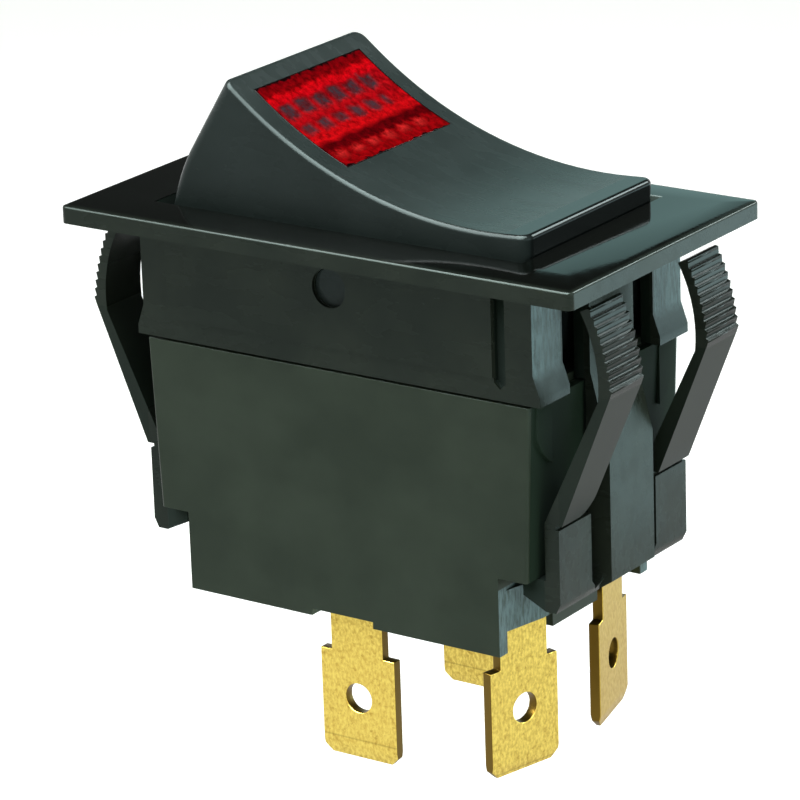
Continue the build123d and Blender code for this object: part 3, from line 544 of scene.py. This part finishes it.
MOST_NOISE = (0.35, 0.65)
CLOUD_SIZE = 6.0
FINE_GRAIN = (0.25, 0.0015)
# Gloss and dull tones darken the colour as painted shade; the sheen colour paints pale streaks of sheen.
GLOSS_SHADE_TONES, GLOSS_SHARE = (0.15, 0.15, 0.15), 0.27
DULL_SHADE_TONES, DULL_ROUGHNESS = (0.3, 0.5, 0.35), 0.75
SHEEN_COLOUR = (0.13, 0.195, 0.2)


def moulded(name, dark, light, roughness, grain=FINE_GRAIN, gloss_and_shade=None, dull=None, painted_sheen=None, **sockets):
    """Moulded plastic: roughness is its lowest and highest, grain its size and depth in mm.

    Where the function gloss_and_shade gives one, the skin is smoother and darker with painted shade,
    where dull does, rougher and darker with painted shade, and where painted_sheen does, it has paler
    streaks of painted sheen.
    """
    made, tree, shader = new_material(name, **sockets)
    skin = use_group(tree, moulded_skin, {"Cloud Size": CLOUD_SIZE, "Grain Size": grain[0]})
    tone = spread(tree, skin["Tone"], 0.0, 1.0, *MOST_NOISE)
    colour = blend_colours(tree, tone, dark, light)
    rough = spread(tree, skin["Gloss"], *roughness, *MOST_NOISE)
    if gloss_and_shade:
        mask = gloss_and_shade(tree)
        colour = blend_colours(tree, mask, colour, darker(dark, GLOSS_SHADE_TONES))
        rough = calc(tree, "MULTIPLY", rough, spread(tree, mask, 1.0, GLOSS_SHARE))
    if dull:
        mask = dull(tree)
        colour = blend_colours(tree, mask, colour, darker(dark, DULL_SHADE_TONES))
        rough = calc(tree, "MAXIMUM", rough, spread(tree, mask, 0.0, DULL_ROUGHNESS))
    if painted_sheen:
        sheen_streak = use_group(tree, sheen_streaks, STROKE)["Sheen"]
        colour = blend_colours(tree, all_of(tree, painted_sheen(tree), sheen_streak), colour, SHEEN_COLOUR)
    tree.links.new(colour, shader.inputs["Base Color"])
    tree.links.new(rough, shader.inputs["Roughness"])
    bump(tree, shader, skin["Height"], grain[1])
    return made


print("each moulding blends noise from", MOST_NOISE[0], "to", MOST_NOISE[1])

# %% [markdown]
# ## Three blacks
# The base is a shade lighter and duller than the bracket, and the rocker a shade bluer. A low specular
# level keeps the white room out of the black, and its tint leans to green and blue, as the photographed
# gloss does.

# %% Bracket, base and rocker blacks
bracket_black = moulded(
    "bracket_black",
    dark=(0.015, 0.019, 0.014),
    light=(0.022, 0.027, 0.0195),
    roughness=(0.22, 0.32),
    gloss_and_shade=bracket_gloss_and_shade,
    dull=bracket_dullness_and_shade,
    painted_sheen=bracket_sheen,
    Specular_IOR_Level=0.15,
    Specular_Tint=(0.75, 1.0, 0.96, 1),
)
base_black = moulded(
    "base_black",
    dark=(0.0255, 0.034, 0.0215),
    light=(0.036, 0.047, 0.031),
    roughness=(0.28, 0.38),
    dull=base_dullness_and_shade,
    painted_sheen=base_sheen,
    Specular_IOR_Level=0.16,
    Specular_Tint=(0.75, 1.0, 0.98, 1),
)
rocker_black = moulded(
    "rocker_black",
    dark=(0.0205, 0.0275, 0.026),
    light=(0.0275, 0.036, 0.0345),
    roughness=(0.24, 0.3),
    gloss_and_shade=rocker_gloss_and_shade,
    Specular_IOR_Level=0.11,
    Specular_Tint=(0.8, 1.0, 0.98, 1),
)
print("black plastics:", bracket_black.name, base_black.name, rocker_black.name)

# %% [markdown]
# ## Red window
# The window is clear red plastic, polished on top, with rows of small prisms moulded under it that
# throw the light back. Real glass over real prisms would need many light paths. Here the polished top
# is the shader's coat, and what lies under it is drawn into the colour, with painted reflection where
# the prisms throw the light back and painted shade where they do not: first the bands, from the
# rocker's high end to its middle.

# %% Bands of the window
WINDOW_FAR, WINDOW_LENGTH, WINDOW_WIDTH = 11.45, 8.75, 12.7
WAVE_SCALE, WAVE_SIZE = 1.1, 0.025
# On the pane's red, the bright bands are painted reflection of the prisms and the dark bands painted shade.
BAND_COLOURS = (
    (0.00, (0.20, 0.000, 0.003)),
    (0.10, (0.30, 0.001, 0.003)),
    (0.14, (0.75, 0.002, 0.006)),
    (0.20, (0.78, 0.002, 0.008)),
    (0.24, (0.42, 0.002, 0.006)),
    (0.39, (0.55, 0.004, 0.008)),
    (0.44, (0.48, 0.002, 0.006)),
    (0.58, (0.62, 0.003, 0.006)),
    (0.66, (0.70, 0.003, 0.006)),
    (0.71, (0.13, 0.000, 0.002)),
    (0.77, (0.14, 0.000, 0.002)),
    (0.81, (0.34, 0.001, 0.003)),
    (0.96, (0.36, 0.001, 0.003)),
    (1.00, (0.50, 0.001, 0.004)),
)

lens_red, lens_tree, lens_shader = new_material(
    "lens_red", Roughness=0.4, Coat_Weight=0.2, Coat_Roughness=0.06, Specular_IOR_Level=0.0
)
level = level_place(lens_tree)
split = put(lens_tree, "ShaderNodeSeparateXYZ", {0: level})
ripple = noise(lens_tree, level, WAVE_SCALE, detail=3.0)
wave = spread(lens_tree, ripple, -WAVE_SIZE, WAVE_SIZE, start=0.3, end=0.7)
down = spread(lens_tree, split.outputs["X"], 0, 1, -WINDOW_FAR, WINDOW_LENGTH - WINDOW_FAR)
down = calc(lens_tree, "ADD", down, wave)
over = spread(lens_tree, split.outputs["Y"], 0, 1, -WINDOW_WIDTH / 2, WINDOW_WIDTH / 2)
bands = put(lens_tree, "ShaderNodeValToRGB", {"Fac": down})
ramp = bands.color_ramp
while len(ramp.elements) < len(BAND_COLOURS):
    ramp.elements.new(1.0)
for element, (position, colour) in zip(ramp.elements, BAND_COLOURS):
    element.position = position
    element.color = (*colour, 1)
print("bands in the window:", len(BAND_COLOURS))

# %% [markdown]
# ## Prisms under the window
# Two rows of dark squares and a row of small bright marks cross the bands at an even pitch. The dark
# squares are painted shade and the bright marks painted reflection. Modelled prisms would be many small
# faces under a pane that light has to enter and leave. So each row is a mask made from the fraction of
# the distance across, softened at its edges.

# %% Rows of prisms
PRISM_PITCH = 0.148
PRISM_FIRST = 0.09
ROW_END_SOFT = 0.02


def prism_row(middle, half_down, half_over, soft, reach=0.9):
    """One where a row of small squares lies, falling to zero over a soft edge, as shares of the window."""
    column = calc(lens_tree, "SUBTRACT", over, PRISM_FIRST - PRISM_PITCH / 2)
    column = calc(lens_tree, "FRACT", calc(lens_tree, "DIVIDE", column, PRISM_PITCH))
    off_column = size_of(lens_tree, calc(lens_tree, "SUBTRACT", column, 0.5))
    off_row = size_of(lens_tree, calc(lens_tree, "SUBTRACT", down, middle))
    sideways = within(lens_tree, off_column, half_over, soft)
    lengthways = within(lens_tree, off_row, half_down, soft * PRISM_PITCH)
    return all_of(lens_tree, sideways, lengthways, within(lens_tree, over, reach, ROW_END_SOFT))


upper_row = prism_row(middle=0.295, half_down=0.072, half_over=0.34, soft=0.14)
lower_row = prism_row(middle=0.515, half_down=0.055, half_over=0.3, soft=0.14, reach=0.83)
mark_row = prism_row(middle=0.85, half_down=0.035, half_over=0.26, soft=0.18)
print("rows of prisms: 3, pitch", round(PRISM_PITCH * WINDOW_WIDTH, 2), "mm")

# %% [markdown]
# ## Colour and relief of the window
# The rows are laid over the bands, a thin black line follows the pane's rim, and flecks shade it all.
# The flecks also break up the dark squares, because real prisms never throw the light back evenly. A
# bump lowers the squares and lifts the marks. Only the base layer feels it, so the coat on top stays
# smooth.

# %% Window colour
# The tones of the squares are painted shade, the tone of the marks painted reflection.
UPPER_TONE, LOWER_TONE, MARK_TONE = (0.06, 0.03, 0.04), (0.08, 0.03, 0.04), (0.7, 0.02, 0.02)
RIM_TONE = (0.012, 0.002, 0.003)
RIM_DOWN, RIM_OVER = (0.475, 0.49), (0.483, 0.493)
RELIEF_DEPTH, LOWER_DEPTH, FLECK_DEPTH = 0.12, 0.8, 0.8

fleck = noise(lens_tree, level, scale=2.2, detail=4.0, roughness=0.65)
patchy = spread(lens_tree, fleck, low=0.7, high=1.0, start=0.42, end=0.55)
off_middle = size_of(lens_tree, calc(lens_tree, "SUBTRACT", down, 0.5))
off_centre = size_of(lens_tree, calc(lens_tree, "SUBTRACT", over, 0.5))
rim = spread(lens_tree, off_middle, 0, 1, *RIM_DOWN)
rim = calc(lens_tree, "MAXIMUM", rim, spread(lens_tree, off_centre, 0, 1, *RIM_OVER))

pane = blend_colours(lens_tree, all_of(lens_tree, upper_row, patchy), bands.outputs["Color"], UPPER_TONE)
pane = blend_colours(lens_tree, all_of(lens_tree, lower_row, patchy), pane, LOWER_TONE)
pane = blend_colours(lens_tree, mark_row, pane, MARK_TONE)
pane = blend_colours(lens_tree, rim, pane, RIM_TONE)
shade = spread(lens_tree, fleck, low=0.35, high=0.85, start=0.36, end=0.62)
pane = put(lens_tree, "ShaderNodeVectorMath", {0: pane, "Scale": shade}, operation="SCALE").outputs[0]
lens_tree.links.new(pane, lens_shader.inputs["Base Color"])

relief = calc(lens_tree, "SUBTRACT", mark_row, upper_row)
relief = calc(lens_tree, "SUBTRACT", relief, calc(lens_tree, "MULTIPLY", lower_row, LOWER_DEPTH))
relief = calc(lens_tree, "ADD", relief, calc(lens_tree, "MULTIPLY", fleck, FLECK_DEPTH))
bump(lens_tree, lens_shader, relief, RELIEF_DEPTH)
print("window relief:", RELIEF_DEPTH, "mm")

# %% [markdown]
# ## Cut edges and painted shade of the blades
# The tabs are sheared from brass strip and coined at the tip. The cut leaves dark, torn edges, and the
# coining tool leaves a fine line across the face. The darkening on the side faces and the holes' walls
# is partly that of the cut and partly painted shade. The edges could be a second material, but a mask
# from the normal finds them on all four blades. The far end tab is darkened towards the dull colour
# with painted shade.

# %% Places on the blades
END_BLADES_X = 9.05
FLAT_SOFT = 0.1
COIN_LINE_Z, COIN_LINE_WIDTH, COIN_LINE_TONE = -36.35, 0.06, 0.35
FAR_SIDE_Y, FAR_SHADE = 1.5, 0.7


def cut_edges_and_shade(tree):
    """Cut and painted shade: one on the sheared edges and the holes' walls, less on the coining line near
    the tips.
    """
    x, _, z = axes(tree)
    at_end = beyond(tree, x, END_BLADES_X, soft=0.05)
    at_middle = calc(tree, "SUBTRACT", 1.0, at_end)
    flat_middle = all_of(tree, facing(tree, "Y"), at_middle)
    flat_end = all_of(tree, facing(tree, "X"), at_end)
    edges = within(tree, calc(tree, "ADD", flat_middle, flat_end), limit=0.5, soft=FLAT_SOFT)
    line = within(tree, size_of(tree, calc(tree, "SUBTRACT", z, COIN_LINE_Z)), COIN_LINE_WIDTH)
    return calc(tree, "MAXIMUM", edges, all_of(tree, line, COIN_LINE_TONE))


def far_end_painted_shade(tree):
    """Painted shade: more than a half on the far end tab, zero on the other three."""
    x, y, _ = axes(tree)
    at_end = beyond(tree, x, END_BLADES_X, soft=0.05)
    far_end = all_of(tree, at_end, beyond(tree, y, FAR_SIDE_Y, soft=0.5))
    return all_of(tree, far_end, FAR_SHADE)


print("blade masks:", cut_edges_and_shade.__name__, far_end_painted_shade.__name__)

# %% [markdown]
# ## Brass, silver and steel
# The tabs are rolled brass, the arms phosphor bronze, the buttons silver, the springs steel and the
# leads tinned copper. They differ in colour, gloss and the size of their streaks, and share one build:
# a bright and a dull colour mixed by the streaks, and specks of the dull one on top.

# %% Metals
STREAK_SHARE = 0.6
STREAK_DEPTH = 0.003
CUT_AND_SHADE_TONES = (0.35, 0.35, 0.35)


def metal(name, bright, dull, roughness, streak, spots, cut_and_shade=None, painted_shade=None):
    """Rolled or drawn metal: roughness is its lowest and highest, streak its length and width in mm.

    Where the function cut_and_shade gives one, the metal is dark from the shear and from painted shade,
    and where painted_shade does, it takes the dull colour as painted shade.
    """
    made, tree, shader = new_material(name, Metallic=1.0)
    values = {"Streak Length": streak[0], "Streak Width": streak[1], "Spots": spots}
    skin = use_group(tree, rolled_skin, values)
    streaks = spread(tree, skin["Streak"], 0, STREAK_SHARE, *MOST_NOISE)
    colour = blend_colours(tree, streaks, bright, dull)
    colour = blend_colours(tree, skin["Spot"], colour, dull)
    if painted_shade:
        colour = blend_colours(tree, painted_shade(tree), colour, dull)
    if cut_and_shade:
        colour = blend_colours(tree, cut_and_shade(tree), colour, darker(dull, CUT_AND_SHADE_TONES))
    rough = spread(tree, skin["Streak"], *roughness, *MOST_NOISE)
    tree.links.new(colour, shader.inputs["Base Color"])
    tree.links.new(rough, shader.inputs["Roughness"])
    bump(tree, shader, skin["Streak"], STREAK_DEPTH)
    return made


brass = metal(
    "rolled_brass",
    bright=(0.86, 0.68, 0.15),
    dull=(0.4, 0.25, 0.04),
    roughness=(0.3, 0.42),
    streak=(0.35, 0.2),
    spots=0.9,
    cut_and_shade=cut_edges_and_shade,
    painted_shade=far_end_painted_shade,
)
bronze = metal("arm_bronze", (0.72, 0.47, 0.22), (0.4, 0.24, 0.1), (0.3, 0.4), (2.0, 0.2), 0.5)
silver = metal("contact_silver", (0.86, 0.85, 0.82), (0.5, 0.48, 0.44), (0.2, 0.32), (0.4, 0.4), 0.4)
steel = metal("drawn_steel", (0.62, 0.62, 0.63), (0.36, 0.36, 0.38), (0.22, 0.35), (0.5, 0.1), 0.3)
tin = metal("tinned_wire", (0.74, 0.74, 0.72), (0.46, 0.46, 0.44), (0.25, 0.38), (0.8, 0.1), 0.4)
print("metals:", [made.name for made in (brass, bronze, silver, steel, tin)])

# %% [markdown]
# ## Nylon, lacquer and glass
# Inside, the plungers are natural nylon, the resistor is lacquered and the lamp is a small glass bulb.
# They are hidden at rest, so they take the same build as the black mouldings, with pale tones and a
# coarser grain.

# %% Pale pieces
PALE_GRAIN = (0.4, 0.003)
nylon = moulded("plunger_nylon", (0.74, 0.71, 0.64), (0.8, 0.78, 0.72), (0.35, 0.45), PALE_GRAIN)
lacquer = moulded("resistor_lacquer", (0.58, 0.45, 0.27), (0.66, 0.53, 0.34), (0.3, 0.4), PALE_GRAIN)
glass = moulded(
    "lamp_glass",
    dark=(0.9, 0.84, 0.78),
    light=(0.95, 0.92, 0.88),
    roughness=(0.04, 0.14),
    grain=PALE_GRAIN,
    Transmission_Weight=0.8,
    IOR=1.47,
)
print("pale pieces:", nylon.name, lacquer.name, glass.name)

# %% [markdown]
# ## A finish for every CAD piece
# Each CAD piece gets the finish of its kind, so that nothing shows bare, whether a rounded copy stands
# in for it later or not. The kind is the longest name in the list that the piece's own name starts
# with.

# %% Finishes for the CAD pieces
FINISHES = {
    "contact_arm": bronze,
    "moving_contact": silver,
    "fixed_contact": silver,
    "plunger_spring": steel,
    "plunger": nylon,
    "lamp_resistor": lacquer,
    "lamp_lead": tin,
    "resistor_lead": tin,
    "lamp": glass,
    "tab": brass,
    "lens": lens_red,
    "rocker": rocker_black,
    "contact_base": base_black,
    "bezel_bracket": bracket_black,
}
for node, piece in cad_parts.items():
    piece.data.materials.clear()
    kind = max((key for key in FINISHES if node.startswith(key)), key=len)
    piece.data.materials.append(FINISHES[kind])
print("CAD pieces given a finish:", len(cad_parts))

# %% [markdown]
# ## Rounded mouldings
# A real moulding has no knife edges. The edges could be rounded in CAD, at the cost of many small faces
# in its mesh, so it is done here. Each piece is copied, its loose triangles are joined, its flat faces
# are made whole again, and a small bevel goes round every sharp edge. The thin line of light on a bevel
# tells the eye that the part is moulded.

# %% Helpers for rounded copies
WELD_DISTANCE = 0.002
FLAT_ANGLE = 0.6
BEVEL_SEGMENTS = 2
FACE_WEIGHT = 60


def cad_copy(node, name):
    """A copy of a CAD piece with its triangles joined, as a new object in the same place."""
    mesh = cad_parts[node].data.copy()
    mesh.name = name
    body = bmesh.new()
    body.from_mesh(mesh)
    bmesh.ops.remove_doubles(body, verts=body.verts, dist=WELD_DISTANCE * MM)
    bmesh.ops.dissolve_limit(body, angle_limit=math.radians(FLAT_ANGLE), verts=body.verts, edges=body.edges)
    for face in body.faces:
        face.smooth = True
    body.to_mesh(mesh)
    body.free()
    mesh.materials.clear()
    made = bpy.data.objects.new(name, mesh)
    bpy.context.scene.collection.objects.link(made)
    return made


def bake(obj):
    """Turns an object with modifiers into a plain mesh."""
    graph = bpy.context.evaluated_depsgraph_get()
    mesh = bpy.data.meshes.new_from_object(obj.evaluated_get(graph), depsgraph=graph)
    obj.modifiers.clear()
    obj.data = mesh
    return obj


def round_edges(obj, width, angle):
    """Bevels the edges sharper than angle by width mm, then lets the large faces rule the shading."""
    bevel = obj.modifiers.new("edges", "BEVEL")
    bevel.width = width * MM
    bevel.segments = BEVEL_SEGMENTS
    bevel.limit_method = "ANGLE"
    bevel.angle_limit = math.radians(angle)
    bevel.use_clamp_overlap = True
    bevel.miter_outer = "MITER_ARC"
    weighted = obj.modifiers.new("weights", "WEIGHTED_NORMAL")
    weighted.mode = "FACE_AREA"
    weighted.weight = FACE_WEIGHT
    weighted.keep_sharp = True
    return bake(obj)


def dress(obj, body, slot_name, material, *nodes):
    """Hands a finished piece to its body in place of the CAD pieces it stands for."""
    obj.data.materials.clear()
    obj.data.materials.append(material)
    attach(obj, body)
    if nodes:
        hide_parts(*nodes)
    print(obj.name, len(obj.data.polygons), "faces")
    return obj


print("each bevel has", BEVEL_SEGMENTS, "segments")

# %% [markdown]
# ## Bracket and base
# Both are thin-walled mouldings with many inner corners. The base's edges are a little rounder than the
# bracket's, so each piece has a width of its own. A wide bevel would eat the thin wings, so the
# bracket's is narrow.

# %% Bracket and base
bracket = round_edges(cad_copy("bezel_bracket", "bracket_moulding"), width=0.07, angle=32)
dress(bracket, "housing", "bracket", bracket_black, "bezel_bracket")
base = round_edges(cad_copy("contact_base", "base_moulding"), width=0.12, angle=32)
dress(base, "housing", "base", base_black, "contact_base")

# %% [markdown]
# ## Rocker and window
# The rocker's large fillets are in the CAD model, and a finer bevel only softens what is left. The
# pane's bevel takes steeper edges alone, because its face is curved and made of strips that have to
# stay smooth.

# %% Rocker and window
rocker = round_edges(cad_copy("rocker", "rocker_moulding"), width=0.06, angle=40)
dress(rocker, "rocker", "rocker", rocker_black, "rocker")
window = round_edges(cad_copy("lens", "window_pane"), width=0.1, angle=50)
dress(window, "rocker", "lens", lens_red, "lens")

# %% [markdown]
# ## Tabs
# A blanked tab has slightly rolled edges, and its tip is coined so that the receptacle slides on. The
# tip's taper is in the CAD model. The four tabs could be rounded one by one, but they are stamped
# alike, so a loop gives each the same narrow bevel.

# %% Tabs
for side in ("near", "far"):
    for place in ("middle", "end"):
        tab = "tab_" + side + "_" + place
        blade = round_edges(cad_copy(tab, tab + "_blade"), width=0.07, angle=25)
        dress(blade, "housing", "tab", brass, tab)

# %% [markdown]
# ## Ribs on the wings
# Ten ribs cross each wing, so that the switch grips panels of different thickness. They could be
# modelled one by one, but they follow the wing's arc at even angles, which is a rule that Geometry
# Nodes can hold: points on the arc, a bar with a round back on each point, the set copied to the other
# wing, and both turned half round.


# %% Tree for the ribs
def rib_tree():
    """A tree that lays bars along an arc, on both wings of both ends."""
    tree = bpy.data.node_groups.new("wing_ribs", "GeometryNodeTree")
    sockets = tree.interface
    sockets.new_socket("Geometry", in_out="INPUT", socket_type="NodeSocketGeometry")
    arc_inputs = ("Arc Radius", "Centre X", "Centre Z", "First Angle", "Angle Step")
    bar_inputs = ("Wing Middle", "Bar Length", "Bar Height", "Bar Half Width")
    for label in arc_inputs + bar_inputs:
        sockets.new_socket(label, in_out="INPUT", socket_type="NodeSocketFloat")
    sockets.new_socket("Ribs", in_out="INPUT", socket_type="NodeSocketInt")
    sockets.new_socket("Material", in_out="INPUT", socket_type="NodeSocketMaterial")
    sockets.new_socket("Geometry", in_out="OUTPUT", socket_type="NodeSocketGeometry")
    given = tree.nodes.new("NodeGroupInput").outputs

    count = put(tree, "GeometryNodeInputIndex").outputs[0]
    turned = calc(tree, "MULTIPLY", count, given["Angle Step"])
    angle = calc(tree, "SUBTRACT", given["First Angle"], turned)
    out = calc(tree, "MULTIPLY", calc(tree, "COSINE", angle), given["Arc Radius"])
    rise = calc(tree, "MULTIPLY", calc(tree, "SINE", angle), given["Arc Radius"])
    x = calc(tree, "ADD", given["Centre X"], out)
    z = calc(tree, "ADD", given["Centre Z"], rise)
    place = put(tree, "ShaderNodeCombineXYZ", {0: x, 1: given["Wing Middle"], 2: z}).outputs[0]
    points = put(tree, "GeometryNodePoints", {"Count": given["Ribs"], "Position": place}).outputs[0]

    bar = put(tree, "GeometryNodeMeshCylinder", {"Vertices": 16, "Radius": 1.0, "Depth": 1.0}).outputs
    round_side = {"Geometry": bar["Mesh"], "Selection": bar["Side"]}
    smooth = put(tree, "GeometryNodeSetShadeSmooth", round_side).outputs[0]
    quarter = math.radians(90)
    lying = put(tree, "GeometryNodeTransform", {"Geometry": smooth, "Rotation": (quarter, 0, 0)}).outputs[0]
    size = {0: given["Bar Height"], 1: given["Bar Length"], 2: given["Bar Half Width"]}
    scale = put(tree, "ShaderNodeCombineXYZ", size).outputs[0]
    sized = put(tree, "GeometryNodeTransform", {"Geometry": lying, "Scale": scale}).outputs[0]
    turn = put(tree, "ShaderNodeCombineXYZ", {1: calc(tree, "MULTIPLY", angle, -1.0)}).outputs[0]
    on_points = {"Points": points, "Instance": sized, "Rotation": turn}
    near = put(tree, "GeometryNodeInstanceOnPoints", on_points).outputs[0]

    to_far_side = calc(tree, "MULTIPLY", given["Wing Middle"], -2.0)
    shift = put(tree, "ShaderNodeCombineXYZ", {1: to_far_side}).outputs[0]
    far = put(tree, "GeometryNodeTransform", {"Geometry": near, "Translation": shift}).outputs[0]
    pair = put(tree, "GeometryNodeJoinGeometry")
    tree.links.new(near, pair.inputs[0])
    tree.links.new(far, pair.inputs[0])
    half_round = {"Geometry": pair.outputs[0], "Rotation": (0, 0, math.pi)}
    other = put(tree, "GeometryNodeTransform", half_round).outputs[0]
    all_four = put(tree, "GeometryNodeJoinGeometry")
    tree.links.new(pair.outputs[0], all_four.inputs[0])
    tree.links.new(other, all_four.inputs[0])
    real = put(tree, "GeometryNodeRealizeInstances", {0: all_four.outputs[0]}).outputs[0]
    finish = {"Geometry": real, "Material": given["Material"]}
    done = put(tree, "GeometryNodeSetMaterial", finish).outputs[0]
    tree.links.new(done, tree.nodes.new("NodeGroupOutput").inputs[0])
    return tree


def grow(name, tree, sizes):
    """Runs a Geometry Nodes tree with the given inputs and returns its result as a plain mesh object."""
    made = bpy.data.objects.new(name, bpy.data.meshes.new(name))
    bpy.context.scene.collection.objects.link(made)
    modifier = made.modifiers.new(name, "NODES")
    modifier.node_group = tree
    for socket in tree.interface.items_tree:
        if socket.in_out == "INPUT" and socket.name in sizes:
            modifier[socket.identifier] = sizes[socket.name]
    return bake(made)


wing_ribs = rib_tree()
print("tree", wing_ribs.name, "with", len(wing_ribs.nodes), "nodes")

# %% [markdown]
# ## Growing the ribs
# The arc's centre, radius and end angles are those of the wing in the CAD model, so each bar lies on
# the crest of a rib. It is a little shorter than the wing is wide, and lies inside the part's box.

# %% Ribs on the four wings
RIB_COUNT = 10
ARC_RADIUS, ARC_CENTRE_X, ARC_CENTRE_Z = 14.833, 6.775, -7.945
ARC_START, ARC_END = 27.48, 3.27
WING_MIDDLE_Y = -6.225
BAR_LENGTH, BAR_HEIGHT, BAR_HALF_WIDTH = 4.0, 0.185, 0.13
CREST_SHARE = 0.36

rib_step = (ARC_START - ARC_END) / RIB_COUNT
ribs = grow(
    "wing_rib_bars",
    wing_ribs,
    {
        "Arc Radius": ARC_RADIUS * MM,
        "Centre X": ARC_CENTRE_X * MM,
        "Centre Z": ARC_CENTRE_Z * MM,
        "First Angle": math.radians(ARC_START - CREST_SHARE * rib_step),
        "Angle Step": math.radians(rib_step),
        "Wing Middle": WING_MIDDLE_Y * MM,
        "Bar Length": BAR_LENGTH * MM,
        "Bar Height": BAR_HEIGHT * MM,
        "Bar Half Width": BAR_HALF_WIDTH * MM,
        "Ribs": RIB_COUNT,
        "Material": bracket_black,
    },
)
dress(ribs, "housing", "bracket", bracket_black)
